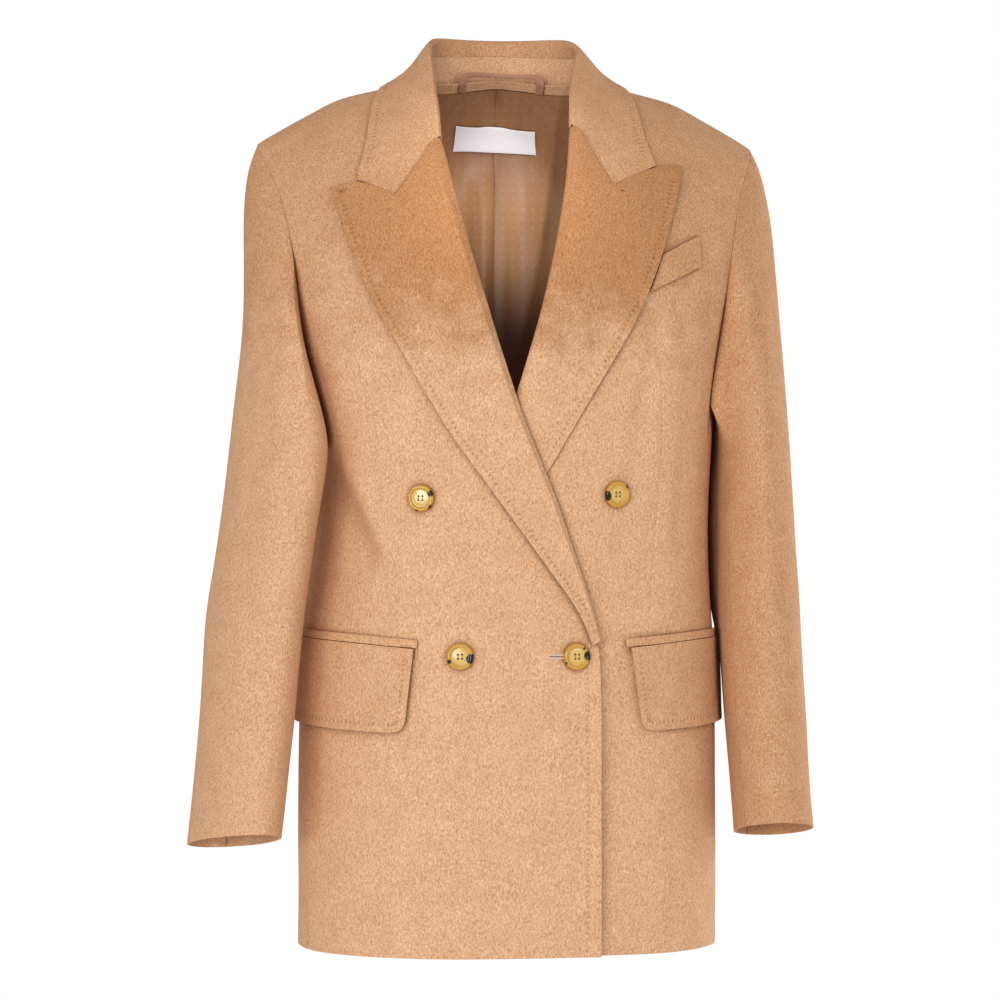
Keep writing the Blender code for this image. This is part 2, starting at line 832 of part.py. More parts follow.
def lapel_places(side):
    """(out, height) of each lapel point, from the break up to the gorge."""
    table = LAPELS[side]
    count = len(table)
    rows = []
    for index, row in enumerate(table):
        roll = Vector((roll_out(side, row.roll_height), row.roll_height))
        edge = Vector((row.edge_out, row.edge_height))
        bend = ramp(index, count - 1 - LAPEL_BEND_ROWS, count - 1)
        line = []
        for c in range(LAPEL_COLUMNS + 1):
            fraction = c / LAPEL_COLUMNS
            straight = roll.lerp(edge, fraction)
            tip_roll = Vector((roll_out(side, table[-1].roll_height), table[-1].roll_height))
            tip_edge = Vector((table[-1].edge_out, table[-1].edge_height))
            bent = gorge_place(side, fraction) - tip_roll.lerp(tip_edge, fraction)
            line.append(straight + bent * bend)
        rows.append(line)
    return rows


def lapel_lift(side, place, fraction, share):
    """Lift of the lapel's middle line: highest near the roll, pressed flat where it is covered."""
    spring = ramp(place.y, -0.300, -0.150) if side == LEFT else ramp(share, 0.0, 0.5)
    bulge = LAPEL_BULGE * spring * (1.0 - fraction) ** 2
    base = under_lift(side * place.x, place.y) if side == LEFT else 0.0
    return base + LAPEL_GAPS[side] + THIN_CLOTH / 2 + bulge


def lapel(side, finish):
    places = lapel_places(side)
    middle = []
    for index, row in enumerate(places):
        share = index / (len(places) - 1)
        across = roll_across(side, row[0].y)
        line = []
        base = under_lift(side * row[0].x, row[0].y) if side == LEFT else 0.0
        for turn in ROLL_TURN:
            place = row[0] + across * turn.across
            line.append(on_front(side * place.x, place.y, base + turn.lift))
        for c, place in enumerate(row):
            if c == 0:
                place = row[0] + (row[1] - row[0]) * 0.35
            fraction = c / LAPEL_COLUMNS
            line.append(on_front(side * place.x, place.y, lapel_lift(side, place, fraction, share)))
        middle.append(line)
    skins = both_skins(middle, THIN_CLOTH, body_normal)
    wall(f"{SIDE_NAMES[side]}_lapel", *(drawn_in(skin) for skin in skins), finish)


# Collar


class BackStation(NamedTuple):
    """A line across the collar at the back. fold and middle are out, y and height."""

    neck_out: float
    fold: tuple
    middle: tuple
    edge_out: float
    edge_height: float
    roll: float  # radius of the fold


class CollarStation(NamedTuple):
    """A line across the collar. Its points are out, y and height, from the neck seam outwards."""

    neck: tuple
    fold: tuple
    middle: tuple
    edge: tuple
    roll: float


COLLAR_BACK = (
    BackStation(0.0000, (0.0000, 0.0880, 0.0540), (0.0000, 0.1000, 0.0270), 0.0000, -0.0060, 0.0028),
    BackStation(0.0300, (0.0300, 0.0830, 0.0540), (0.0340, 0.0925, 0.0270), 0.0370, -0.0060, 0.0028),
    BackStation(0.0510, (0.0515, 0.0680, 0.0530), (0.0630, 0.0670, 0.0265), 0.0690, -0.0055, 0.0028),
    BackStation(0.0650, (0.0630, 0.0430, 0.0490), (0.0800, 0.0370, 0.0245), 0.0920, -0.0040, 0.0028),
    BackStation(0.0735, (0.0675, 0.0180, 0.0410), (0.0855, 0.0140, 0.0200), 0.1050, -0.0020, 0.0026),
)
COLLAR_FRONTS = {
    RIGHT: (
        CollarStation(
            (0.0728, -0.0060, 0.0080), (0.0690, -0.0060, 0.0280),
            (0.0910, -0.0100, 0.0100), (0.1130, -0.0160, -0.0040), 0.0024,
        ),
        CollarStation(
            (0.0700, -0.0330, -0.0060), (0.0685, -0.0370, 0.0060),
            (0.0950, -0.0400, -0.0140), (0.1210, -0.0380, -0.0180), 0.0020,
        ),
        CollarStation(
            (0.0685, -0.0640, -0.0290), (0.0685, -0.0730, -0.0260),
            (0.0985, -0.0720, -0.0480), (0.1300, -0.0760, -0.0580), 0.0016,
        ),
    ),
    LEFT: (
        CollarStation(
            (0.0722, -0.0070, 0.0076), (0.0640, -0.0080, 0.0290),
            (0.0850, -0.0100, 0.0100), (0.1050, -0.0120, -0.0010), 0.0024,
        ),
        CollarStation(
            (0.0610, -0.0370, -0.0020), (0.0555, -0.0400, 0.0060),
            (0.0830, -0.0400, -0.0100), (0.1105, -0.0380, -0.0150), 0.0020,
        ),
        CollarStation(
            (0.0502, -0.0680, -0.0225), (0.0505, -0.0780, -0.0190),
            (0.0800, -0.0720, -0.0380), (0.1140, -0.0720, -0.0470), 0.0016,
        ),
    ),
}
COLLAR_STEPS = 2
STAND_SHARE = 0.62  # of the way up from the neck seam to the fold
STAND_COLUMNS = 2
LIP_OUT, LIP_LIFT = -0.0019, -0.0030
FOLD_OUT = -0.0016
GORGE_GAP = 0.0006
FOLD_GAP = 0.0015  # from the lapel's fold up to the collar's
COLLAR_LIFT = 0.0010 + THIN_CLOTH / 2


STAND_GAP = 0.0018  # from the back's neckline up to the stand


def own_side(side, place):
    return Vector((side * place[0], place[1], place[2]))


def back_station(side, row):
    neck = on_back(side * row.neck_out, panel_top(row.neck_out, True) + STAND_GAP, -CLOTH / 2)
    edge = on_back(side * row.edge_out, row.edge_height, COLLAR_LIFT)
    return CollarStation(neck, own_side(side, row.fold), own_side(side, row.middle), edge, row.roll)


def front_station(side, row):
    neck, fold, middle, edge = (own_side(side, place) for place in row[:4])
    return CollarStation(neck, fold, middle, seated(edge, COLLAR_LIFT), row.roll)


def gorge_station(side):
    """The collar's end, along the same line as the lapel's top edge."""
    gorge = GORGES[side]
    roll = Vector((roll_out(side, gorge.roll_height), gorge.roll_height))
    along = (Vector((gorge.notch_out, gorge.notch_height)) - roll).normalized()
    off = Vector((-along.y, along.x)) * GORGE_GAP
    across = roll_across(side, gorge.roll_height)
    start = roll + off + Vector((0.0, FOLD_GAP))
    lip, fold = (start + across * out for out in (LIP_OUT, FOLD_OUT))
    neck = on_front(side * lip.x, lip.y, LIP_LIFT)
    top = on_front(side * fold.x, fold.y, 0.0016)
    notch = on_front(side * (gorge.notch_out + off.x), gorge.notch_height + off.y, COLLAR_LIFT)
    corner = on_front(side * gorge.corner_out, gorge.corner_height, COLLAR_LIFT)
    return CollarStation(neck, top, notch, corner, 0.0010)


def collar_stations():
    """All stations from the wearer's right gorge round the back to the left one, in place."""
    halves = []
    for side in (RIGHT, LEFT):
        rows = [back_station(side, row) for row in COLLAR_BACK]
        rows += [front_station(side, row) for row in COLLAR_FRONTS[side]]
        halves.append(rows + [gorge_station(side)])
    return halves[0][::-1] + halves[1][1:]


def through(points, steps):
    """The points with steps - 1 more between each two, on a smooth curve through them all."""
    made = []
    for k in range(len(points) - 1):
        a, b = points[k], points[k + 1]
        before = points[k - 1] if k > 0 else a + (a - b)
        after = points[k + 2] if k + 2 < len(points) else b + (b - a)
        for step in range(steps):
            t = step / steps
            square = before * 2 - a * 5 + b * 4 - after
            cube = a * 3 - before - b * 3 + after
            made.append((a * 2 + (b - before) * t + square * t**2 + cube * t**3) * 0.5)
    return made + [points[-1]]


def kept_clear(point, lift):
    """The point, moved outwards if it is nearer to the body's surface than this."""
    slope = gradient(point)
    distance = (outside(point) - 1.0) / slope.length
    return seated(point, lift) if distance < lift else point


def collar_profile(neck, fold, middle, edge, roll, outward):
    """Points across the collar at one station: inner face, fold, then the leaf."""
    up = (fold - neck).normalized()
    seam = neck.lerp(fold, STAND_SHARE)
    before = fold - outward * roll - up * roll
    after = fold + outward * roll - Vector((0.0, 0.0, roll * 0.8))
    bend = after + (middle - fold).normalized() * roll * 3.0
    leaf = []
    for t in (0.3, 0.65):
        point = after * (1 - t) ** 2 + bend * (2 * t * (1 - t)) + middle * t**2
        leaf.append(kept_clear(point, COLLAR_LIFT))
    outer = [kept_clear(middle.lerp(edge, t), COLLAR_LIFT) for t in (0.35, 0.70)]
    return [neck, neck.lerp(seam, 0.5), seam, before, fold, after, *leaf, middle, *outer, edge]


def collar_grid():
    stations = collar_stations()
    names = ("neck", "fold", "middle", "edge")
    lines = [through([getattr(row, name) for row in stations], COLLAR_STEPS) for name in names]
    rolls = through([Vector((row.roll, 0, 0)) for row in stations], COLLAR_STEPS)
    rows = []
    for k, (neck, fold, middle, edge) in enumerate(zip(*lines)):
        if 0 < k < len(rolls) - 1:
            middle = kept_clear(middle, COLLAR_LIFT)
            edge = seated(edge, COLLAR_LIFT)
        flat = middle - fold
        outward = Vector((flat.x, flat.y, 0.0)).normalized()
        rows.append(collar_profile(neck, fold, middle, edge, rolls[k].x, outward))
    return rows


def both_skins(middle, thickness, facing):
    """The outer and inner points of a cloth from its middle points. facing gives its outer side."""
    last_row, last_column = len(middle) - 1, len(middle[0]) - 1
    normals = []
    for r, row in enumerate(middle):
        line = []
        for c in range(last_column + 1):
            along = row[min(c + 1, last_column)] - row[max(c - 1, 0)]
            down = middle[min(r + 1, last_row)][c] - middle[max(r - 1, 0)][c]
            line.append(along.cross(down).normalized())
        normals.append(line)
    r, c = last_row // 2, last_column - 1
    sign = 1.0 if normals[r][c].dot(facing(middle[r][c])) > 0.0 else -1.0
    return [
        [[point + normal * offset for point, normal in zip(*lines)] for lines in zip(middle, normals)]
        for offset in (sign * thickness / 2, -sign * thickness / 2)
    ]


def collar(finish):
    skins = both_skins(collar_grid(), THIN_CLOTH, body_normal)
    pieces = {"collar_stand": slice(0, STAND_COLUMNS + 1), "collar_leaf": slice(STAND_COLUMNS, None)}
    for name, columns in pieces.items():
        wall(name, *(drawn_in([row[columns] for row in skin]) for skin in skins), finish)


# Pockets


class PocketLine(NamedTuple):
    angle: float
    jet_top: float
    jet_bottom: float
    flap_top: float
    flap_bottom: float


HIP_POCKET = (
    PocketLine(28.9, -0.4910, -0.4980, -0.4988, -0.5716),
    PocketLine(55.0, -0.4862, -0.4930, -0.4938, -0.5690),
    PocketLine(86.0, -0.4835, -0.4900, -0.4908, -0.5645),
)
FLAP_COLUMNS = (0.000, 0.012, 0.035, 0.075, 0.18, 0.30, 0.42, 0.54, 0.66, 0.78, 0.89, 1.0)
FLAP_ROWS = 4
FLAP_CORNER = 0.011
FLAP_STAND_OFF = 0.0012


class PocketEnd(NamedTuple):
    start: float  # angle of the jetting's front end
    set_in: float  # degrees that the flap starts inside it
    slant: float  # degrees that the flap's front edge leans outwards at its foot


POCKET_ENDS = {RIGHT: PocketEnd(28.9, 0.8, 1.9), LEFT: PocketEnd(29.7, 1.3, 2.6)}


def pocket_height(column, angle):
    return read_table(HIP_POCKET, "angle", column, angle)


def layer(name, places, lift, thickness, finish):
    """A piece that lies on the body. places(lift) gives its grid of points at that lift."""
    wall(name, places(lift + thickness), places(lift), finish)


def jetting(side, finish):
    first, last = POCKET_ENDS[side].start, HIP_POCKET[-1].angle

    def places(lift):
        rows = []
        for share in (0.0, 0.5, 1.0):
            row = []
            for c in range(13):
                angle = between(first, last, c / 12)
                ends = (pocket_height(column, angle) for column in ("jet_top", "jet_bottom"))
                row.append(on_body(side, angle, between(*ends, share), lift))
            rows.append(row)
        return rows

    layer(f"{SIDE_NAMES[side]}_jetting", places, LAYER_GAP, 0.0016, finish)


def flap(side, finish):
    end = POCKET_ENDS[side]
    first, last = end.start + end.set_in, HIP_POCKET[-1].angle
    width = math.radians(last - first) * half_width(side, -0.53) * 0.8

    def places(lift):
        rows = []
        for r in range(FLAP_ROWS + 1):
            share = r / FLAP_ROWS
            row = []
            for column in FLAP_COLUMNS:
                angle = between(first + end.slant * share, last, column)
                from_corner = max(FLAP_CORNER - column * width, 0.0)
                rise = FLAP_CORNER - math.sqrt(FLAP_CORNER**2 - from_corner**2)
                bottom = pocket_height("flap_bottom", angle) + rise
                height = between(pocket_height("flap_top", angle), bottom, share)
                row.append(on_body(side, angle, height, lift + FLAP_STAND_OFF * share))
            rows.append(row)
        return rows

    layer(f"{SIDE_NAMES[side]}_flap", places, LAYER_GAP, 0.0020, finish)


class WeltCorner(NamedTuple):
    out: float
    height: float


WELT_TOP = (WeltCorner(0.1250, -0.1568), WeltCorner(0.1608, -0.1380))
WELT_BOTTOM = (WeltCorner(0.1135, -0.1892), WeltCorner(0.1614, -0.1655))


def chest_welt(finish):
    def places(lift):
        rows = []
        for r in range(4):
            corners = zip(WELT_TOP, WELT_BOTTOM)
            ends = [Vector(top).lerp(Vector(bottom), r / 3) for top, bottom in corners]
            line = [ends[0].lerp(ends[1], c / 6) for c in range(7)]
            rows.append([on_front(place.x, place.y, lift) for place in line])
        return rows

    layer("chest_welt", places, LAYER_GAP, 0.0016, finish)


# Inside of the back


LINING_LIFT = -CLOTH - 0.0006
LINING_HEM_RISE = 0.022
LINING_SET_IN = 0.15
FACING_LIFT = LINING_LIFT - LINING - 0.0006
FACING_CLOTH = 0.0012
FACING_COLUMNS = 4
FACING_TOP_IN = 0.10  # share of the top row's height left free above the strip
FACING_BELOW = 0.10  # share of the next row's height that the strip reaches down into
LABEL_GAP = 0.0024
LABEL_THICKNESS = 0.0006


def back_neck_facing(finish):
    """A strip on the top of the lining, made from the columns of both backs that reach the neck."""
    halves = {side: back_places(side)[::-1][:3] for side in (RIGHT, LEFT)}

    def half_row(side, r, lift):
        top, next_row, below = halves[side]
        if r == 0:
            pairs = [(a, b, FACING_TOP_IN) for a, b in zip(top, next_row)]
        else:
            pairs = [(a, b, FACING_BELOW * (r - 1)) for a, b in zip(next_row, below)]
        places = [(between(a[0], b[0], f), between(a[1], b[1], f)) for a, b, f in pairs]
        return [on_body(side, angle, height, lift) for angle, height in places[: FACING_COLUMNS + 1]]

    def places(lift):
        return [half_row(RIGHT, r, lift)[::-1] + half_row(LEFT, r, lift)[1:] for r in range(3)]

    layer("back_neck_facing", places, FACING_LIFT - FACING_CLOTH, FACING_CLOTH, finish)


def lining_grid(side, lift):
    rows = back_places(side)[:-1]
    rows[0] = [(angle, height + LINING_HEM_RISE) for angle, height in rows[0]]
    for row in rows:
        (last_angle, last_height), (angle, height) = row[-1], row[-2]
        row[-1] = (between(last_angle, angle, LINING_SET_IN), between(last_height, height, LINING_SET_IN))
    return drawn_in([[on_body(side, angle, height, lift) for angle, height in row] for row in rows])


def back_lining(side, finish):
    def places(lift):
        return lining_grid(side, lift)

    layer(f"{SIDE_NAMES[side]}_back_lining", places, LINING_LIFT - LINING, LINING, finish)


def lining_faces():
    """The inner faces of both halves of the lining, to lay the label on."""
    points, faces = [], []
    for side in (RIGHT, LEFT):
        grid = lining_grid(side, LINING_LIFT - LINING)
        columns = len(grid[0])
        start = len(points)
        points += [point for row in grid for point in row]
        for r in range(len(grid) - 1):
            for c in range(columns - 1):
                k = start + r * columns + c
                faces.append((k, k + 1, k + columns + 1, k + columns))
    return BVHTree.FromPolygons(points, faces)


class LabelEdge(NamedTuple):
    x: float
    top: float
    bottom: float


LABEL_ENDS = (LabelEdge(-0.0405, -0.0207, -0.0449), LabelEdge(0.0400, -0.0250, -0.0478))


def neck_label(finish):
    seat = lining_faces()
    left, right = LABEL_ENDS

    def places(lift):
        rows = []
        for r in range(3):
            row = []
            for c in range(11):
                share = c / 10
                heights = between(left.top, right.top, share), between(left.bottom, right.bottom, share)
                above = on_back(between(left.x, right.x, share), between(*heights, r / 2), LINING_LIFT)
                row.append(seat.find_nearest(above)[0] + body_normal(above) * lift)
            rows.append(row)
        return rows

    layer("neck_label", places, -LABEL_GAP - LABEL_THICKNESS, LABEL_THICKNESS, finish)


class LoopPoint(NamedTuple):
    x: float
    height: float
    breadth: float
    off: float  # how far it stands off the stand


HANGER_LOOP = (
    LoopPoint(-0.0345, 0.0030, 0.0065, 0.0012),
    LoopPoint(-0.0340, 0.0110, 0.0065, 0.0020),
    LoopPoint(-0.0325, 0.0165, 0.0060, 0.0040),
    LoopPoint(-0.0280, 0.0200, 0.0036, 0.0048),
    LoopPoint(-0.0150, 0.0205, 0.0030, 0.0052),
    LoopPoint(0.0020, 0.0198, 0.0030, 0.0054),
    LoopPoint(0.0190, 0.0188, 0.0030, 0.0052),
    LoopPoint(0.0320, 0.0178, 0.0036, 0.0048),
    LoopPoint(0.0362, 0.0145, 0.0060, 0.0040),
    LoopPoint(0.0370, 0.0095, 0.0065, 0.0020),
    LoopPoint(0.0370, 0.0020, 0.0065, 0.0012),
)
LOOP_THICKNESS = 0.0010
STAND_LEAN = 0.26  # how far the stand leans back for each metre of its height


def inner_neck_y(x, height):
    """Y of the inner faces at the back of the neck: the facing below, the stand above."""
    top = panel_top(x, True)
    low = min(height, top)
    base = Vector((x, surface_y(x, low, True), low))
    facing_y = base.y + (FACING_LIFT - FACING_CLOTH) / body_normal(base).y
    return facing_y + (height - low) * STAND_LEAN


def hanger_loop(finish):
    path = through([Vector((p.x, p.height, p.off)) for p in HANGER_LOOP], 2)
    breadths = through([Vector((p.breadth, 0, 0)) for p in HANGER_LOOP], 2)
    skins = []
    for depth in (0.0, LOOP_THICKNESS):
        edges = []
        for k, place in enumerate(path):
            ahead, behind = path[min(k + 1, len(path) - 1)], path[max(k - 1, 0)]
            across = Vector((behind.y - ahead.y, ahead.x - behind.x)).normalized() * breadths[k].x / 2
            line = []
            for sign in (1, -1):
                x, height = place.x + sign * across.x, place.y + sign * across.y
                line.append(Vector((x, inner_neck_y(x, height) - place.z - depth, height)))
            edges.append(line)
        skins.append(edges)
    wall("hanger_loop", skins[1], skins[0], finish)


# Buttons


BUTTON_RADIUS = 0.0118
BUTTON_HOLE_RADIUS = 0.0010
BUTTON_HOLE_OUT = 0.0025
BUTTON_SIDES = 24
BUTTON_LIFT = 0.0007


class ProfilePoint(NamedTuple):
    radius: float
    height: float


# Half of the button's section, from the middle of its face round to the middle of its back.
BUTTON_PROFILE = (
    ProfilePoint(0.0000, 0.0028),
    ProfilePoint(0.0062, 0.0028),
    ProfilePoint(0.0074, 0.0036),
    ProfilePoint(0.0088, 0.0042),
    ProfilePoint(0.0104, 0.0038),
    ProfilePoint(0.0116, 0.0028),
    ProfilePoint(BUTTON_RADIUS, 0.0018),
    ProfilePoint(0.0110, 0.0006),
    ProfilePoint(0.0080, 0.0000),
    ProfilePoint(0.0000, 0.0000),
)


class ButtonPlace(NamedTuple):
    name: str
    x: float
    height: float


BUTTONS = (
    ButtonPlace("button_upper_right", -0.0851, -0.3682),
    ButtonPlace("button_upper_left", 0.0869, -0.3653),
    ButtonPlace("button_lower_right", -0.0523, -0.5050),
    ButtonPlace("button_lower_left", 0.0485, -0.5054),
)


def button_blank():
    bm = bmesh.new()
    profile = [bm.verts.new((point.radius, 0.0, point.height)) for point in BUTTON_PROFILE]
    edges = [bm.edges.new(pair) for pair in zip(profile, profile[1:])]
    bmesh.ops.spin(
        bm,
        geom=profile + edges,
        cent=(0, 0, 0),
        axis=(0, 0, 1),
        angle=math.tau,
        steps=BUTTON_SIDES,
        use_merge=True,
    )
    bmesh.ops.remove_doubles(bm, verts=bm.verts, dist=1e-6)
    return bm


def hole_cutter():
    bm = bmesh.new()
    for k in range(4):
        turn = math.radians(45 + 90 * k)
        made = bmesh.ops.create_cone(
            bm,
            cap_ends=True,
            segments=8,
            radius1=BUTTON_HOLE_RADIUS,
            radius2=BUTTON_HOLE_RADIUS,
            depth=0.012,
        )
        shift = Vector((math.cos(turn), math.sin(turn), 0.0)) * BUTTON_HOLE_OUT
        bmesh.ops.translate(bm, verts=made["verts"], vec=shift)
    cutter = add_object("hole_cutter", bm, None)
    cutter.hide_render = True
    cutter.display_type = "WIRE"
    return cutter


def buttons(finish):
    cutter = hole_cutter()
    for place in BUTTONS:
        under = under_lift(place.x, place.height) if place.name == "button_upper_left" else 0.0
        centre = on_front(place.x, place.height, under + BUTTON_LIFT)
        normal = (on_front(place.x, place.height, 0.01) - on_front(place.x, place.height)).normalized()
        button = add_object(place.name, button_blank(), finish)
        button.location = centre
        button.rotation_mode = "QUATERNION"
        button.rotation_quaternion = normal.to_track_quat("Z", "Y")
        own_cutter = cutter.copy()
        own_cutter.name = place.name + "_cutter"
        own_cutter.parent = button
        bpy.context.scene.collection.objects.link(own_cutter)
        cut = button.modifiers.new("thread_holes", "BOOLEAN")
        cut.operation = "DIFFERENCE"
        cut.object = own_cutter
    bpy.data.objects.remove(cutter)


def clear_scene():
    for item in list(bpy.data.objects):
        bpy.data.objects.remove(item, do_unlink=True)


def main():
    clear_scene()
    finishes = make_materials()
    wool = finishes["wool"]
    for side in (RIGHT, LEFT):
        body_panels(side, wool)
        sleeves(side, wool)
        lapel(side, wool)
        jetting(side, wool)
        flap(side, wool)
        back_lining(side, finishes["lining"])
    collar(wool)
    back_neck_facing(wool)
    chest_welt(wool)
    hanger_loop(finishes["lining"])
    neck_label(finishes["label"])
    buttons(finishes["horn"])


main()
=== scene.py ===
"""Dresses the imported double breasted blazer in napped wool, satin and horn, and lights it.

Run it with: blender --background --python scene.py

Metres, +Z up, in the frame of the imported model: +X is the wearer's left, -Y the front, and the
origin is the middle of the neck base. "Right" and "left" are the wearer's. Each packed cloth
piece is copied, divided until it is smooth, and given its folds, edges and stitching.
"""

import json
import math
from typing import NamedTuple

import bmesh
import bpy
import numpy as np
from bpy.props import FloatProperty, FloatVectorProperty, PointerProperty
from mathutils import Matrix, Vector, kdtree, noise

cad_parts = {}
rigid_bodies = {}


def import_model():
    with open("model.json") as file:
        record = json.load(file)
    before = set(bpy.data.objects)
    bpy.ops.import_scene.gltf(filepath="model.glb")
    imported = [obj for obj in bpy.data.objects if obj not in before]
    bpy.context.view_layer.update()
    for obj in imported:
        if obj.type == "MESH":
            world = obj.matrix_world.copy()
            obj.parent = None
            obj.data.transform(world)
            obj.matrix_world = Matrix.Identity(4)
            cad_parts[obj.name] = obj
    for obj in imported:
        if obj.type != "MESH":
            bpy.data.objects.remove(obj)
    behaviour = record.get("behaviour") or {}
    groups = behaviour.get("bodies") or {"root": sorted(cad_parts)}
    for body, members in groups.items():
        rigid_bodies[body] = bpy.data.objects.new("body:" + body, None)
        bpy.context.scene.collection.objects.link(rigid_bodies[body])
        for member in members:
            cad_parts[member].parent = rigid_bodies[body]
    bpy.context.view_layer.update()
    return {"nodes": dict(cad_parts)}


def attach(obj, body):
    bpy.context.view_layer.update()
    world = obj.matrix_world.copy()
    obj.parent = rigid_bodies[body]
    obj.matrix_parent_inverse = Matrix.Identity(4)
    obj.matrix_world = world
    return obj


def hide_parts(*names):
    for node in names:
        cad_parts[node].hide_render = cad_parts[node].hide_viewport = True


bl_info = {
    "name": "Double Breasted Blazer",
    "version": (1, 0, 0),
    "blender": (4, 5, 0),
    "location": "3D View > Sidebar > Blazer",
    "description": "Builds the cloth, lining and buttons of a double breasted blazer",
    "category": "Object",
}

for item in list(bpy.data.objects):
    bpy.data.objects.remove(item, do_unlink=True)
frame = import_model()
NODES = frame["nodes"]

MERGE = 2e-5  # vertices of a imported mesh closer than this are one
RIM_ANGLE = math.radians(42)  # a fold sharper than this is the cut edge of the cloth
SMOOTH_LEVELS = 2


def linear(code):
    """An sRGB hex colour as linear red, green, blue and alpha."""
    parts = [int(code[i : i + 2], 16) / 255 for i in (1, 3, 5)]
    return tuple(c / 12.92 if c <= 0.04045 else ((c + 0.055) / 1.055) ** 2.4 for c in parts) + (1.0,)


def colour(name, description, code):
    return FloatVectorProperty(
        name=name, description=description, default=linear(code), size=4, subtype="COLOR", min=0, max=1
    )


def length(name, description, metres):
    return FloatProperty(
        name=name, description=description, default=metres, unit="LENGTH", precision=5, min=0
    )


def number(name, description, value, most=10.0):
    return FloatProperty(name=name, description=description, default=value, min=0, max=most)


# Settings


class WoolSettings(bpy.types.PropertyGroup):
    light: colour("Light fibres", "Colour of the raised fibres", "#F6CDA6")
    mid: colour("Middle tone", "Colour of the cloth between them", "#C99169")
    # The turned tint is multiplied in as painted shade, on darker pieces and the leaning chest, and in
    # clouds as the nap's uneven tone.
    turned: colour("Turned nap", "Tint of nap that is brushed away from the light", "#D8C4AB")
    speck: colour("Russet fibres", "Colour of the darker fibres blended in", "#AD6844")
    # Painted shade: seams, the cloth under edges and stitch dimples are darkened towards this colour.
    crevice: colour("Crevice", "What is left of the colour deep in a seam or under an edge", "#9A7860")
    fleck: length("Fleck size", "Width of the mottling of the nap", 0.0011)
    cloud: length("Cloud size", "Size of the broad unevenness of the nap", 0.0220)
    nap: length("Nap height", "Height of the raised fibres", 0.00050)
    ripple: length("Ripple", "Height of the slow unevenness of hanging cloth", 0.0006)
    fold_scale: number("Folds", "Depth of the folds, 1 as placed", 1.0)
    edge_round: length("Edge rounding", "Rounding of the sewn edges", 0.0007)


class StitchSettings(bpy.types.PropertyGroup):
    pitch: length("Pitch", "Spacing of the hand-picked stitches", 0.0046)
    size: length("Size", "Radius of the dimple that a stitch draws in", 0.0014)
    depth: length("Depth", "Depth of that dimple", 0.0008)


class SatinSettings(bpy.types.PropertyGroup):
    lining: colour("Lining", "Colour of the satin lining", "#D29D70")
    lining_dark: colour("Lining in shade", "Colour of the lining out of the light", "#52291A")
    loop: colour("Loop", "Colour of the hanger loop", "#B2836A")
    label: colour("Label", "Colour of the bare label", "#FBF9FD")
    dot_pitch: length("Dot pitch", "Spacing of the small woven dots", 0.0090)


class ButtonSettings(bpy.types.PropertyGroup):
    amber: colour("Horn", "Main colour of the horn", "#CC9434")
    pale: colour("Pale horn", "Lighter clouds in the horn", "#DCBC70")
    brown: colour("Dark horn", "Dark patches at the edge", "#241006")
    thread: colour("Thread", "Colour of the sewing thread", "#C59A58")
    buttonhole: colour("Buttonhole", "Colour of the buttonhole's thread", "#F6E2CF")
    # Painted shade: the slit's colour stands for the shade in the cut inside the buttonhole.
    slit: colour("Slit", "Colour inside the buttonhole", "#B58560")
    thread_radius: length("Thread radius", "Radius of a bundle of thread", 0.00026)


class StageSettings(bpy.types.PropertyGroup):
    floor: colour("Floor", "Colour of the studio floor", "#F2F1EF")
    floor_drop: length("Floor drop", "Depth of the floor below the neck", 1.5)
    ambient: number("Ambient", "Strength of the light from all round", 0.50)
    key: number("Key", "Power of the light beside the camera", 20.0, 1000)
    side: number("Side", "Power of the light on the camera's left", 21.0, 1000)
    top: number("Top", "Power of the light above", 10.0, 1000)
    fill: number("Fill", "Power of the light on the camera's right", 9.0, 1000)
    rim: number("Rim", "Power of the light behind on the right", 60.0, 1000)
    neck: number("Neck", "Power of the narrow light into the neck", 330.0, 1000)
    lens: number("Lens", "Focal length in millimetres", 120.0, 300)
    distance: length("Distance", "Camera to the middle of the coat", 3.0)


class BlazerSettings(bpy.types.PropertyGroup):
    wool: PointerProperty(type=WoolSettings)
    stitches: PointerProperty(type=StitchSettings)
    satin: PointerProperty(type=SatinSettings)
    buttons: PointerProperty(type=ButtonSettings)
    stage: PointerProperty(type=StageSettings)


# Materials

NOISE_SPAN = {"From Min": 0.30, "From Max": 0.70}  # most of a noise lies between these
NAP_STRETCH = 0.50  # the mottling of the nap is twice as long down the cloth as across it
SPECKS = {"From Min": 0.54, "From Max": 0.74, "To Max": 0.40}
SPECK_SCALE = 0.70  # specks of darker fibres are broader than the flecks, by one over this
UNEVEN_NAP = 0.20  # how much of the turned nap's colour comes and goes in broad clouds
CHEST = {"From Min": -0.235, "From Max": -0.105}  # between these heights it comes to lean back, and the painted chest shade sets in
CHEST_WAVER = 0.10  # how far the clouds shift those heights
OPEN = {"From Min": 0.92, "From Max": 0.30}  # from open cloth to the depth of a crevice, for the painted crevice shade
CREVICE = 0.007  # how near another surface must be to count as a crevice and get painted shade
INNER_CREVICE = 0.028  # the same inside the neck, where the painted shade reaches further
STITCH_SHADE = 0.13  # the share of the painted crevice shade that is painted into the middle of a stitch's dimple
DIMPLE_STRETCH = 0.55  # the less this is, the longer a dimple is across the row
DART_HEIGHT = 0.62  # what a dart's seam leaves of the height that a dimple takes away
DART_BREADTH = 0.0018
# Painted shade on satin where other surfaces stand near: from open to the depth of a crevice, and how
# near.
SATIN_OPEN = {"From Min": 0.90, "From Max": 0.35, "To Max": 0.85}
SATIN_CREVICE = 0.012
SATIN_BAND = 90.0  # bands of shine to the metre, one every 11 mm
SATIN_STRETCH = 0.12  # the less this is, the longer they are
SATIN_BUMP = 0.0003
DOT = {"From Min": 0.16, "From Max": 0.24}  # a dot's edge, as shares of the pitch
DOT_SHINE = 0.10
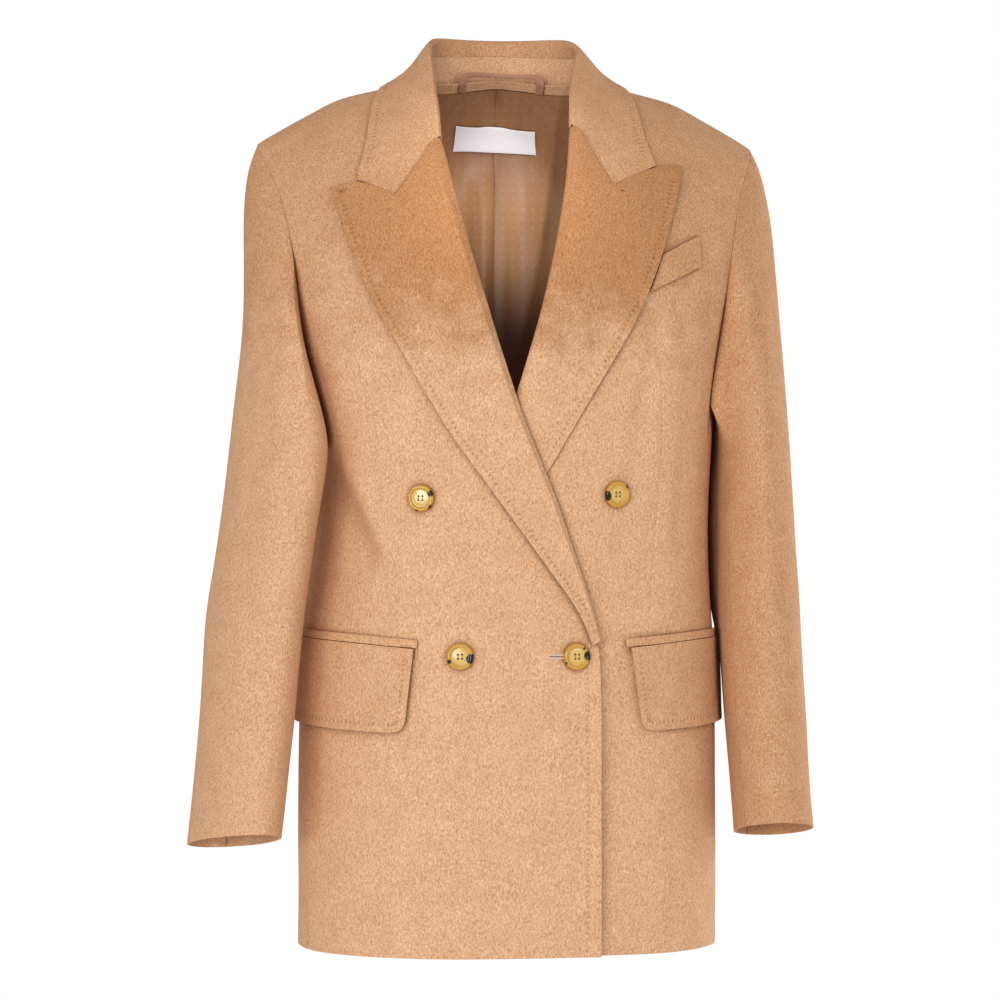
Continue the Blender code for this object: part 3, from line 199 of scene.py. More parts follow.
# Painted shade of the lining: heights between which it darkens, and how much: up to the collar, and
# down into the coat.
LINING_SHADES = ((-0.110, -0.040, 0.37), (-0.135, -0.225, 0.95))
HORN_CLOUD = 210.0  # clouds to the metre, one every 5 mm
HORN_RIM = {"From Min": 0.0060, "From Max": 0.0125}  # between pale and amber, from the middle
RIM_WAVER = 0.004
PATCH_WAVER = 0.002
PATCH_EDGE = (0.0004, 0.0018)  # the edge of a dark patch, counted from its radius
# A real thread turns every 0.4 mm, too fine to show, so its turns are drawn coarser.
THREAD_TWIST = 900.0  # the scale of a wave that puts them 0.7 mm apart along the thread
BUTTONHOLE_TWIST = 1 / 0.0011  # the same for the stitches round the buttonhole
THREAD_BUMP = 0.0001
SMOOTH = "SMOOTHSTEP"


def feed(tree, node, inputs):
    """Gives a node its inputs by name or number: each a value, a socket to link, or another node,
    which stands for the first of its outputs that is in use."""
    for key, value in inputs.items():
        if isinstance(value, bpy.types.Node):
            value = next(output for output in value.outputs if output.enabled)
        if isinstance(value, bpy.types.NodeSocket):
            tree.links.new(value, node.inputs[key])
        else:
            node.inputs[key].default_value = value


def add(tree, kind, inputs=None, **properties):
    """Adds a node with its properties and inputs."""
    node = tree.nodes.new("ShaderNode" + kind)
    for name, value in properties.items():
        setattr(node, name, value)
    feed(tree, node, inputs or {})
    return node


def new_material(name):
    """An empty material with its tree, and the shader that everything is fed into."""
    material = bpy.data.materials.new(name)
    material.use_nodes = True
    tree = material.node_tree
    return material, tree, tree.nodes["Principled BSDF"]


def wool_cloth(name, turned=0.0, darker=0.0, upper=0.40, crevice=CREVICE):
    """Wool broadcloth, milled and brushed: short fibres lie one way, so it is dull, mottled and
    softly bright at grazing angles, with no thread to be seen. They lie at the angle turned. Shade
    is painted into the colour through the turned tint: over all of the piece by the share darker,
    and on the chest, where it leans back from the light, by the share upper."""
    material, tree, shader = new_material(name)
    wool = settings().wool
    stitches = settings().stitches
    place = add(tree, "TexCoord").outputs["Object"]
    # A wool fibre is 0.02 mm thick, too fine to show, so the tufts that fibres lie in are drawn.
    lay = {"Vector": place, "Rotation": (0, turned, 0), "Scale": (1.0, 1.0, NAP_STRETCH)}
    grain = add(tree, "Mapping", lay)
    fine = {"Vector": grain, "Scale": 1 / wool.fleck, "Detail": 2.0, "Roughness": 0.7}
    fleck = add(tree, "TexNoise", fine)
    speck = add(tree, "TexNoise", {"Vector": grain, "Scale": SPECK_SCALE / wool.fleck, "Detail": 2.0})
    broad = {"Vector": place, "Scale": 1 / wool.cloud, "Detail": 2.0, "Roughness": 0.5}
    cloud = add(tree, "TexNoise", broad)
    spread = add(tree, "MapRange", {"Value": fleck, **NOISE_SPAN})
    tone = add(tree, "Mix", {"Factor": spread, "A": wool.mid, "B": wool.light}, data_type="RGBA")
    russet = add(tree, "MapRange", {"Value": speck, **SPECKS})
    specked = add(tree, "Mix", {"Factor": russet, "A": tone, "B": wool.speck}, data_type="RGBA")
    # Painted shade: the whole piece by the share darker, the chest by the share upper; the clouds are
    # the nap's uneven tone.
    dull = {"Value": cloud, **NOISE_SPAN, "To Min": darker, "To Max": darker + UNEVEN_NAP}
    clouds_and_shade = add(tree, "MapRange", dull)
    height = add(tree, "SeparateXYZ", {0: place}).outputs["Z"]
    wavering = add(tree, "Math", {0: cloud, 1: CHEST_WAVER, 2: height}, operation="MULTIPLY_ADD")
    chest = {"Value": wavering, **CHEST, "To Max": upper}
    chest_shade = add(tree, "MapRange", chest, interpolation_type=SMOOTH)
    shaded = add(tree, "Math", {0: clouds_and_shade, 1: chest_shade}, operation="ADD", use_clamp=True)
    tint = {"data_type": "RGBA", "blend_type": "MULTIPLY"}
    nap_and_shade = add(tree, "Mix", {"Factor": shaded, "A": specked, "B": wool.turned}, **tint)
    # Painted shade: towards the crevice colour where other surfaces stand near, and in each stitch's
    # dimple, which draws seams and edges as dark lines.
    near = add(tree, "AmbientOcclusion", {"Distance": crevice}, samples=6).outputs["AO"]
    hollow = add(tree, "MapRange", {"Value": near, **OPEN, "To Max": 1.0})
    dimpled, stitched = stitch_heights(tree, stitches)
    drawn = add(tree, "MapRange", {"Value": dimpled, "To Min": STITCH_SHADE, "To Max": 0.0})
    painted_shade = add(tree, "Math", {0: hollow, 1: drawn}, operation="MAXIMUM")
    base = add(tree, "Mix", {"Factor": painted_shade, "A": nap_and_shade, "B": wool.crevice}, **tint)
    nap = add(tree, "Bump", {"Height": fleck, "Distance": wool.nap, "Strength": 1.0})
    picked = {"Height": stitched, "Distance": stitches.depth, "Strength": 1.0, "Normal": nap}
    feed(
        tree,
        shader,
        {
            "Base Color": base,
            "Normal": add(tree, "Bump", picked),
            "Roughness": 0.95,
            "Specular IOR Level": 0.12,
            "Sheen Weight": 0.12,
            "Sheen Roughness": 0.5,
            "Sheen Tint": wool.light,
        },
    )
    return material


def stitch_heights(tree, stitches):
    """1 on plain cloth, falling to 0 in each stitch's dimple; and the same with the darts' seams in
    it."""
    rows = add(tree, "Attribute", attribute_name="stitch").outputs["Vector"]
    edge = add(tree, "SeparateXYZ", {0: rows}).outputs
    turns = add(tree, "Math", {0: edge["Y"], 1: 1 / stitches.pitch}, operation="MULTIPLY")
    part = add(tree, "Math", {0: turns}, operation="FRACT")
    centred = add(tree, "Math", {0: part, 1: 0.5}, operation="SUBTRACT")
    along = add(tree, "Math", {0: centred, 1: stitches.pitch}, operation="MULTIPLY")
    across = add(tree, "Math", {0: edge["X"], 1: DIMPLE_STRETCH}, operation="MULTIPLY")
    flat = add(tree, "CombineXYZ", {"X": across, "Y": along})
    away = add(tree, "VectorMath", {0: flat}, operation="LENGTH")
    reach = {"Value": away, "From Min": 0.0, "From Max": stitches.size}
    dimple = add(tree, "MapRange", reach, interpolation_type=SMOOTH)
    seam = add(tree, "Math", {0: edge["Z"]}, operation="ABSOLUTE")
    dart = {"Value": seam, "From Min": 0.0, "From Max": DART_BREADTH, "To Min": DART_HEIGHT}
    groove = add(tree, "MapRange", dart, interpolation_type=SMOOTH)
    return dimple, add(tree, "Math", {0: dimple, 1: groove}, operation="MINIMUM")


def satin(name, base, dark, rough, dot_pitch=0.0, depths=(), shine=0.18):
    """Viscose satin: long floats lie one way, so it is smooth and shines in soft vertical bands. Each
    of depths is a height where the painted shade of the dark colour begins to take over, one where it
    stops, and its share there."""
    material, tree, shader = new_material(name)
    place = add(tree, "TexCoord").outputs["Object"]
    # A float is 0.1 mm wide, too fine to show, so the bands of shine that floats make are drawn,
    # as a painted sheen of lighter and darker bands in the colour and as bumps.
    bands = add(tree, "Mapping", {"Vector": place, "Scale": (1.0, 1.0, SATIN_STRETCH)})
    long = {"Vector": bands, "Scale": SATIN_BAND, "Detail": 3.0, "Roughness": 0.6}
    floats = add(tree, "TexNoise", long)
    factor = add(tree, "MapRange", {"Value": floats, **NOISE_SPAN, "To Min": 0.10, "To Max": 0.30})
    if dot_pitch:
        flat = add(tree, "Mapping", {"Vector": place, "Scale": (1.0, 0.0, 1.0)})
        cells = {"Vector": flat, "Scale": 1 / dot_pitch, "Randomness": 0.0}
        dots = {"Value": add(tree, "TexVoronoi", cells), **DOT, "To Min": -DOT_SHINE, "To Max": 0.0}
        mark = add(tree, "MapRange", dots)
        factor = add(tree, "Math", {0: factor, 1: mark}, operation="ADD", use_clamp=True)
    shown = add(tree, "Mix", {"Factor": factor, "A": base, "B": dark}, data_type="RGBA")
    # Painted shade by height, in the dark colour.
    if depths:
        height = add(tree, "SeparateXYZ", {0: place}).outputs["Z"]
    for start, end, share in depths:
        fall = {"Value": height, "From Min": start, "From Max": end, "To Max": share}
        deep = add(tree, "MapRange", fall, interpolation_type=SMOOTH)
        shown = add(tree, "Mix", {"Factor": deep, "A": shown, "B": dark}, data_type="RGBA")
    # Painted shade in the dark colour where other surfaces stand near.
    near = add(tree, "AmbientOcclusion", {"Distance": SATIN_CREVICE}, samples=6).outputs["AO"]
    hollow = add(tree, "MapRange", {"Value": near, **SATIN_OPEN})
    shown = add(tree, "Mix", {"Factor": hollow, "A": shown, "B": dark}, data_type="RGBA")
    weave = add(tree, "Bump", {"Height": floats, "Distance": SATIN_BUMP, "Strength": 0.6})
    look = {"Base Color": shown, "Normal": weave, "Roughness": rough, "Specular IOR Level": shine}
    feed(tree, shader, look)
    return material


def horn(name, centre, patches):
    """Polished horn: pale amber, deeper towards the rim, dark brown where the outer layers of the
    horn reach the edge, and a waxy gloss. Each patch is a direction on the face in degrees, a
    distance and a radius."""
    material, tree, shader = new_material(name)
    own = settings().buttons
    place = add(tree, "TexCoord").outputs["Object"]
    face = {"Vector": place, "Location": (-centre.x, 0, -centre.z), "Scale": (1.0, 0.0, 1.0)}
    flat = add(tree, "Mapping", face)
    clouds = {"Vector": place, "Scale": HORN_CLOUD, "Detail": 2.0, "Distortion": 0.6}
    cloud = add(tree, "TexNoise", clouds)
    out = add(tree, "VectorMath", {0: flat}, operation="LENGTH")
    wavy = add(tree, "Math", {0: cloud, 1: RIM_WAVER, 2: out}, operation="MULTIPLY_ADD")
    deep = add(tree, "MapRange", {"Value": wavy, **HORN_RIM})
    shown = add(tree, "Mix", {"Factor": deep, "A": own.pale, "B": own.amber}, data_type="RGBA")
    for turn, distance, radius in patches:
        spot = Vector((math.cos(math.radians(turn)), 0.0, math.sin(math.radians(turn)))) * distance
        away = add(tree, "VectorMath", {0: flat, 1: tuple(spot)}, operation="DISTANCE")
        uneven = add(tree, "Math", {0: cloud, 1: PATCH_WAVER, 2: away}, operation="MULTIPLY_ADD")
        start, end = (radius + edge for edge in PATCH_EDGE)
        fall = {"Value": uneven, "From Min": start, "From Max": end, "To Min": 1.0, "To Max": 0.0}
        dark = add(tree, "MapRange", fall, interpolation_type=SMOOTH)
        shown = add(tree, "Mix", {"Factor": dark, "A": shown, "B": own.brown}, data_type="RGBA")
    gloss = {"Roughness": 0.12, "IOR": 1.56, "Specular IOR Level": 0.36}
    feed(tree, shader, {"Base Color": shown, **gloss})
    return material


def thread_material(name, tone, twists=THREAD_TWIST):
    """Mercerised cotton thread, twisted: a soft shine broken by its turns, with painted shade in
    the grooves between them.
    """
    material, tree, shader = new_material(name)
    place = add(tree, "TexCoord").outputs["Object"]
    waves = {"Vector": place, "Scale": twists, "Distortion": 0.4}
    twist = add(tree, "TexWave", waves, bands_direction="DIAGONAL").outputs["Fac"]
    # Painted shade: darker in the grooves between the turns.
    tones = {"Factor": twist, "A": darkened(tone, 0.7), "B": tuple(tone)}
    shade = add(tree, "Mix", tones, data_type="RGBA")
    bump = add(tree, "Bump", {"Height": twist, "Distance": THREAD_BUMP, "Strength": 0.8})
    feed(tree, shader, {"Base Color": shade, "Normal": bump, "Roughness": 0.6})
    return material


def darkened(tone, share):
    return tuple(share * part for part in tone)


# Folds


class Crease(NamedTuple):
    """A soft trough in the cloth along a line of (across, height) points. Across is X in a view from
    the front or back, and Y from a side. A negative depth is a ridge."""

    group: str
    view: str
    points: tuple
    breadth: float
    depth: float
    fade: float = 0.35  # the share of its length over which each end dies away
    held: bool = True  # the pieces sewn or lying beside it hold it flat
    only: str = ""  # the one node that it is in


def creases(group, view, *rows):
    return tuple(Crease(group, view, *row) for row in rows)


CREASES = (
    *creases(
        "body", "front",
        # Front: darts, the drape over the ribs beside them, and the pull of the upper button.
        (((-0.1352, -0.2577), (-0.1316, -0.3061), (-0.1251, -0.3553), (-0.1186, -0.4279),
          (-0.112, -0.4736)), 0.013, 0.0012),
        (((0.1256, -0.2395), (0.1276, -0.3281), (0.1248, -0.3726), (0.1199, -0.4171),
          (0.115, -0.4789)), 0.012, 0.001),
        # A fold falls from the armhole to the waist: a ridge with a sharp hollow below it.
        (((-0.16, -0.32), (-0.1427, -0.3484), (-0.1313, -0.3761), (-0.1192, -0.4063),
          (-0.1139, -0.4323)), 0.016, -0.0036, 0.25, False),
        (((-0.168, -0.32), (-0.157, -0.3533), (-0.1456, -0.381), (-0.1335, -0.4112),
          (-0.127, -0.445)), 0.018, 0.0074, 0.22, False),
        (((-0.126, -0.428), (-0.118, -0.46), (-0.111, -0.5)), 0.03, 0.0032),
        (((0.125, -0.18), (0.1141, -0.266), (0.1054, -0.335), (0.1, -0.36)), 0.018, 0.003, 0.3),
        (((0.108, -0.39), (0.0945, -0.4039), (0.0629, -0.4323)), 0.014, 0.003),
        (((-0.045, -0.53), (-0.06, -0.543), (-0.0947, -0.5734), (-0.12, -0.59)), 0.018, 0.0034),
        (((0.129, -0.389), (0.101, -0.417), (0.086, -0.435)), 0.016, 0.0018),
        (((0.1038, -0.3058), (0.1174, -0.2614)), 0.014, 0.0014),
        (((0.156, -0.3), (0.146, -0.37), (0.144, -0.44)), 0.018, 0.0016),
        (((-0.086, -0.53), (-0.093, -0.62)), 0.022, 0.001),
        (((0.078, -0.56), (0.085, -0.67)), 0.024, 0.0012),
    ),
    *creases(
        "body", "back",
        # Back: hollows of the shoulder blades and waist, and drags from the armholes.
        (((-0.048, -0.1), (-0.056, -0.2), (-0.05, -0.29)), 0.03, 0.0022),
        (((0.05, -0.115), (0.054, -0.21), (0.046, -0.305)), 0.028, 0.002),
        (((-0.15, -0.27), (-0.106, -0.325), (-0.07, -0.36)), 0.02, 0.0024),
        (((0.148, -0.28), (0.112, -0.33), (0.08, -0.375)), 0.018, 0.0021),
        (((-0.124, -0.39), (-0.078, -0.408), (-0.03, -0.41)), 0.018, 0.0018),
        (((0.118, -0.4), (0.07, -0.416), (0.034, -0.414)), 0.016, 0.0015),
        (((-0.09, -0.46), (-0.1, -0.56), (-0.102, -0.66)), 0.03, 0.0022),
        (((0.094, -0.47), (0.101, -0.58), (0.108, -0.7)), 0.028, 0.002),
    ),
    *creases(
        "body", "right side",
        # The cloth stands out towards the sleeve at the waist, and the sleeve towards the cloth.
        (((0.011, -0.345), (0.012, -0.42), (0.014, -0.47), (0.014, -0.53)), 0.045, -0.005, 0.25, False),
    ),
    *creases(
        "left_sleeve", "right side",
        (((0.02, -0.265), (0.019, -0.33), (0.014, -0.42), (0.005, -0.5), (-0.002, -0.535)),
         0.036, -0.013, 0.34, False),
    ),
    *creases(
        "body", "back",
        # The left half of the lining is folded over the right one below the label.
        (((-0.009, -0.05), (-0.01, -0.13), (-0.011, -0.21), (-0.01, -0.33)),
         0.022, 0.014, 0.25, False, "right_back_lining"),
        (((0.026, -0.04), (0.03, -0.14), (0.026, -0.26)), 0.026, 0.004, 0.3, False, "left_back_lining"),
    ),
    *creases(
        "body", "left side",
        (((-0.015, -0.33), (0.0, -0.4), (0.005, -0.46)), 0.018, 0.0018),
    ),
    *creases(
        "body", "right side",
        (((-0.02, -0.34), (-0.005, -0.41), (0.0, -0.48)), 0.02, 0.002),
    ),
    *creases(
        "right_sleeve", "front",
        # Sleeves: the bend of the elbow and long soft folds down from the sleeve head.
        (((-0.203, -0.35), (-0.198, -0.39), (-0.196, -0.43)), 0.012, 0.0016),
        (((-0.23, -0.23), (-0.226, -0.33), (-0.236, -0.44)), 0.016, 0.0012),
        (((-0.212, -0.47), (-0.226, -0.505), (-0.244, -0.52)), 0.016, 0.0014),
    ),
    *creases(
        "left_sleeve", "front",
        (((0.208, -0.36), (0.202, -0.41), (0.202, -0.45)), 0.012, 0.0014),
        (((0.234, -0.24), (0.23, -0.35), (0.238, -0.46)), 0.016, 0.0012),
        (((0.216, -0.48), (0.23, -0.515), (0.246, -0.53)), 0.016, 0.0013),
    ),
    *creases(
        "right_sleeve", "back",
        (((-0.21, -0.43), (-0.225, -0.46), (-0.248, -0.47)), 0.018, 0.0022),
        (((-0.216, -0.5), (-0.23, -0.52), (-0.25, -0.522)), 0.016, 0.0018),
        (((-0.22, -0.2), (-0.228, -0.3), (-0.224, -0.38)), 0.018, 0.0014),
    ),
    *creases(
        "left_sleeve", "back",
        (((0.212, -0.44), (0.228, -0.47), (0.25, -0.476)), 0.018, 0.002),
        (((0.218, -0.512), (0.232, -0.53), (0.252, -0.534)), 0.016, 0.0018),
        (((0.222, -0.21), (0.23, -0.31), (0.226, -0.395)), 0.018, 0.0015),
    ),
)  # fmt: skip

VIEWS = {  # the axis that runs across, the axis that points at the viewer, and its sign
    "front": (0, 1, -1),
    "back": (0, 1, 1),
    "left side": (1, 0, 1),
    "right side": (1, 0, -1),
}
VIEW_FADE = 0.030  # a fold fades out over this depth as the cloth turns away from its view
RIPPLE_LENGTH = 0.055
SEWN_HOLD = 0.006  # cloth this near a piece of another group stays where it is
SEWN_REACH = 0.030
LEVEL_STEP = 0.020  # the middle of a group is found at heights this far apart
LEVEL_REACH = 0.025

# How far the tops of the pieces inside the neck are drawn up along its slope, to meet the stand.
DRAWN_UP = {"back_neck_facing": 0.0060, "right_back_lining": 0.0028, "left_back_lining": 0.0028}
DRAWN_REACH = 0.030  # this far below the neck's base they stay where they are
NECK_SLOPE = 0.95  # how far forwards the back of the neck leans for each metre that it rises

# At these heights each front is drawn aside by this much at the edge of the neck opening, which lies
# this far across on either side.
OPENING_HEIGHTS = (-0.370, -0.285, -0.240, -0.120, -0.030)
OPENING_DRAWN = (0.0, 0.0054, 0.0050, 0.0026, 0.0)
OPENING_EDGES = {-1: (0.035, 0.018, 0.008, -0.030, -0.055), 1: (0.000, 0.013, 0.024, 0.040, 0.034)}
OPENING_REACH = 0.060
OPENING_SIDES = {"right_front": -1, "right_lapel": -1, "left_front": 1, "left_lapel": 1}

GROUPS = {
    "body": (
        "right_front", "left_front", "right_back", "left_back", "right_side_panel", "left_side_panel",
        "right_lapel", "left_lapel", "right_flap", "left_flap", "right_jetting", "left_jetting",
        "chest_welt", "right_back_lining", "left_back_lining",
    ),
    "right_sleeve": ("right_top_sleeve", "right_under_sleeve"),
    "left_sleeve": ("left_top_sleeve", "left_under_sleeve"),
    "collar": ("collar_leaf", "collar_stand", "back_neck_facing", "hanger_loop", "neck_label"),
}  # fmt: skip


def mesh_points(mesh):
    """The corners of a mesh as an array."""
    points = np.zeros(len(mesh.vertices) * 3)
    mesh.vertices.foreach_get("co", points)
    return points.reshape(-1, 3)


def group_points(*groups):
    nodes = [node for group in groups for node in GROUPS[group]]
    return np.concatenate([mesh_points(NODES[node].data) for node in nodes])


def tree_of(points):
    tree = kdtree.KDTree(len(points))
    for k, point in enumerate(points):
        tree.insert(point, k)
    tree.balance()
    return tree


def eased(share):
    """The share held between 0 and 1, setting off and arriving gently."""
    share = np.clip(share, 0, 1)
    return share * share * (3 - 2 * share)


def middle_at(group, heights):
    """The centre and half-size across and deep of a group's cloth at each height."""
    points = group_points(group)
    levels = np.arange(points[:, 2].min(), points[:, 2].max(), LEVEL_STEP)
    facts = []
    for level in levels:
        near = points[np.abs(points[:, 2] - level) < LEVEL_REACH, :2]
        low, high = near.min(0), near.max(0)
        facts.append([*((low + high) / 2), *((high - low) / 2)])
    facts = np.array(facts)
    return np.stack([np.interp(heights, levels, column) for column in facts.T], axis=1)


def looseness(points, group):
    """0 where the cloth is sewn to a piece of another group, rising to 1 away from it."""
    others = tree_of(group_points(*[other for other in GROUPS if other != group]))
    away = np.array([others.find(point)[2] for point in points])
    return eased((away - SEWN_HOLD) / SEWN_REACH)


def along_line(points, line):
    """Each point's distance to the line, its place along it in metres, and the line's length."""
    best = np.full(len(points), np.inf)
    place = np.zeros(len(points))
    run = 0.0
    for start, end in zip(line, line[1:]):
        start, step = np.array(start), np.array(end) - np.array(start)
        reach = float(np.linalg.norm(step))
        share = np.clip((points - start) @ step / reach**2, 0, 1)
        away = np.linalg.norm(points - start - share[:, None] * step, axis=1)
        nearer = away < best
        best = np.where(nearer, away, best)
        place = np.where(nearer, run + share * reach, place)
        run += reach
    return best, place, run


def crease_depths(crease, points, middle):
    """How deep this crease is at each point."""
    across, facing, sign = VIEWS[crease.view]
    seen = (points[:, facing] - middle[:, facing]) * sign
    shown = np.clip(seen / VIEW_FADE, 0, 1)
    away, place, run = along_line(points[:, [across, 2]], crease.points)
    profile = 0.5 + 0.5 * np.cos(np.pi * np.clip(away / crease.breadth, 0, 1))
    return crease.depth * profile * shown * eased(np.minimum(place, run - place) / (crease.fade * run))


def folded(points, node, wool, lifts):
    """The points of a cloth piece with its folds and ripples pressed in, and its edges lifted."""
    group = next(name for name, nodes in GROUPS.items() if node in nodes)
    middle = middle_at(group, points[:, 2])
    inwards = middle[:, :2] - points[:, :2]
    inwards /= middle[:, 2:] ** 2
    inwards /= np.linalg.norm(inwards, axis=1)[:, None]
    ripple = np.array([noise.noise(Vector(point) / RIPPLE_LENGTH) for point in points])
    depths = ripple * wool.ripple
    free = np.zeros(len(points))
    for crease in CREASES:
        if crease.group == group and crease.only in ("", node):
            pressed = crease_depths(crease, points, middle) * wool.fold_scale
            if crease.held:
                depths += pressed
            else:
                free += pressed
    moved = points.copy()
    moved[:, :2] += inwards * (depths * looseness(points, group) + free - lifts)[:, None]
    drawn = DRAWN_UP.get(node, 0.0) * np.clip((points[:, 2] + DRAWN_REACH) / DRAWN_REACH, 0, 1)
    moved[:, 1] -= drawn * NECK_SLOPE
    moved[:, 2] += drawn
    if node in OPENING_SIDES:
        moved[:, 0] += drawn_aside(points, OPENING_SIDES[node])
    return moved


def drawn_aside(points, side):
    """How far across each point moves to widen the neck opening, most at the opening's edge."""
    edge = np.interp(points[:, 2], OPENING_HEIGHTS, OPENING_EDGES[side])
    near = np.clip(1 - np.abs(points[:, 0] - edge) / OPENING_REACH, 0, 1)
    return side * near * np.interp(points[:, 2], OPENING_HEIGHTS, OPENING_DRAWN)


# Cloth


class Cut(NamedTuple):
    """A cut piece: its width, length and area flat, and what is done to its free edge, the part of
    its rim that none of the pieces in sewn_to touches."""

    node: str
    width: float
    length: float
    area: float
    stitched: float = 0.0  # how far in from its free edge its stitches lie
    sewn_to: tuple = ()
    lift: float = 0.0  # how far its free edge stands off
    side: int = 0  # the free edge is on this side of the piece's middle, or on both
    heights: tuple = (-1.0, 1.0)  # the free edge lies between these
    covered: float = -1.0  # under this height another piece lies on it and holds it down


BODY_CUTS = (
    Cut(
        "right_front", 0.2786, 0.8513, 0.17503,
        stitched=0.0110, sewn_to=("right_lapel",), lift=0.0045, side=1, heights=(-0.760, -0.492),
    ),
    Cut(
        "left_front", 0.2785, 0.8563, 0.18199,
        stitched=0.0110, sewn_to=("left_lapel",), side=-1, heights=(-0.760, -0.492),
    ),
    Cut("right_side_panel", 0.1147, 0.4846, 0.05295),
    Cut("left_side_panel", 0.1145, 0.4822, 0.05294),
    Cut("right_back", 0.2716, 0.8271, 0.15217),
    Cut("left_back", 0.2716, 0.8260, 0.15494),
)  # fmt: skip
RIGHT_SLEEVE_CUTS = (
    Cut("right_top_sleeve", 0.2450, 0.6228, 0.12754),
    Cut("right_under_sleeve", 0.1657, 0.4482, 0.04130),
)
LEFT_SLEEVE_CUTS = (
    Cut("left_top_sleeve", 0.2450, 0.6157, 0.12446),
    Cut("left_under_sleeve", 0.1610, 0.4394, 0.03799),
)
COLLAR = ("collar_leaf", "collar_stand")
LAPEL_CUTS = (
    Cut(
        "right_lapel", 0.1330, 0.4683, 0.03038,
        stitched=0.0060, sewn_to=COLLAR, lift=0.0045, side=-1, heights=(-1.0, -0.060),
    ),
    Cut(
        "left_lapel", 0.1462, 0.4148, 0.02753,
        stitched=0.0060, sewn_to=COLLAR, lift=0.0040, side=1, heights=(-1.0, -0.088), covered=-0.290,
    ),
)  # fmt: skip
LEAF_CUTS = (
    Cut(
        "collar_leaf", 0.1172, 0.6190, 0.03953,
        stitched=0.0060, sewn_to=("collar_stand", "right_lapel", "left_lapel"), lift=0.0020,
        heights=(-1.0, 0.0),
    ),
)  # fmt: skip
STAND_CUTS = (
    Cut("collar_stand", 0.0311, 0.4811, 0.00757),
    Cut("back_neck_facing", 0.0194, 0.2213, 0.00211),
)
POCKET_CUTS = (
    Cut("right_flap", 0.0754, 0.1512, 0.01089, 0.0070, ("right_jetting",), 0.0020),
    Cut("left_flap", 0.0752, 0.1462, 0.01059, 0.0070, ("left_jetting",), 0.0020),
    Cut("right_jetting", 0.0100, 0.1495, 0.00102),
    Cut("left_jetting", 0.0100, 0.1493, 0.00101),
    Cut("chest_welt", 0.0348, 0.0578, 0.00127),
)
LINING_CUTS = (
    Cut("right_back_lining", 0.2556, 0.7804, 0.14130),
    Cut("left_back_lining", 0.2556, 0.7793, 0.14404),
)
LABEL_CUT = Cut("neck_label", 0.0259, 0.0782, 0.00175)
LOOP_CUT = Cut("hanger_loop", 0.0100, 0.1191, 0.00053)

DARTS = {  # the places across and heights of each dart's seam, from the top
    "right_front": (
        (-0.1352, -0.2577), (-0.1316, -0.3061), (-0.1251, -0.3553), (-0.1221, -0.3899),
        (-0.1186, -0.4279), (-0.1120, -0.4736),
    ),
    "left_front": (
        (0.1256, -0.2395), (0.1276, -0.3281), (0.1248, -0.3726), (0.1199, -0.4171),
        (0.1164, -0.4615), (0.1150, -0.4789),
    ),
}  # fmt: skip
JOIN_ANGLE = math.radians(40)  # triangles less bent than this are parts of one quad
CORNER = math.radians(38)  # a rim that turns more than this at a point has a corner there
ROW_END = 0.0070  # a row of stitches stops this short of a corner
ROW_STEP = 0.0010  # the points along a row are this close
RIM_STEP = 0.0020
FREE_GAP = 0.0050  # an edge with no other piece's edge this near is free
LEVEL_POINTS = 60  # this many corners of a piece say how wide it is at a height
BODY_WIDTH = 0.19
BODY_DEPTH = 0.125
FAR = 1.0
LIFT_REACH = 0.024
LIFT_FALL = 1.5  # how sharply the lift falls off from the edge
COVER_FADE = 0.050
SEAM_PUSH = 0.00016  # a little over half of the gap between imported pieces


def linked(name, mesh):
    obj = bpy.data.objects.new(name, mesh)
    bpy.context.scene.collection.objects.link(obj)
    return obj


def applied(obj):
    """Gives the object the mesh that its modifiers make, and drops them."""
    graph = bpy.context.evaluated_depsgraph_get()
    mesh = bpy.data.meshes.new_from_object(obj.evaluated_get(graph))
    obj.modifiers.clear()
    obj.data = mesh
    return obj


def quads_of(node):
    """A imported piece's mesh as quads, merged, with its cut edges marked to stay crisp."""
    bm = bmesh.new()
    bm.from_mesh(NODES[node].data)
    bmesh.ops.remove_doubles(bm, verts=bm.verts, dist=MERGE)
    bmesh.ops.join_triangles(
        bm,
        faces=bm.faces,
        angle_face_threshold=JOIN_ANGLE,
        angle_shape_threshold=math.pi,
    )
    crease = bm.edges.layers.float.new("crease_edge")
    for edge in bm.edges:
        edge[crease] = float(edge.calc_face_angle(0.0) > RIM_ANGLE)
    return bm


def push_out_rims(bm):
    """Pushes the cut edges out by a hair, so that pieces sewn together touch."""
    crease = bm.edges.layers.float["crease_edge"]
    rim = {vert for edge in bm.edges if edge[crease] for vert in edge.verts}
    moves = {}
    for vert in rim:
        others = [edge.other_vert(vert) for edge in vert.link_edges]
        inner = [other.co for other in others if other not in rim]
        if inner:
            middle = sum(inner, Vector()) / len(inner)
            moves[vert] = (vert.co - middle).normalized() * SEAM_PUSH
    for vert, move in moves.items():
        vert.co += move


def rim_points(node):
    """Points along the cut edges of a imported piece."""
    bm = quads_of(node)
    crease = bm.edges.layers.float["crease_edge"]
    found = []
    for edge in bm.edges:
        if edge[crease]:
            ends = [vert.co.copy() for vert in edge.verts]
            steps = max(1, math.ceil(edge.calc_length() / RIM_STEP))
            found += [ends[0].lerp(ends[1], k / steps) for k in range(steps + 1)]
    bm.free()
    return found


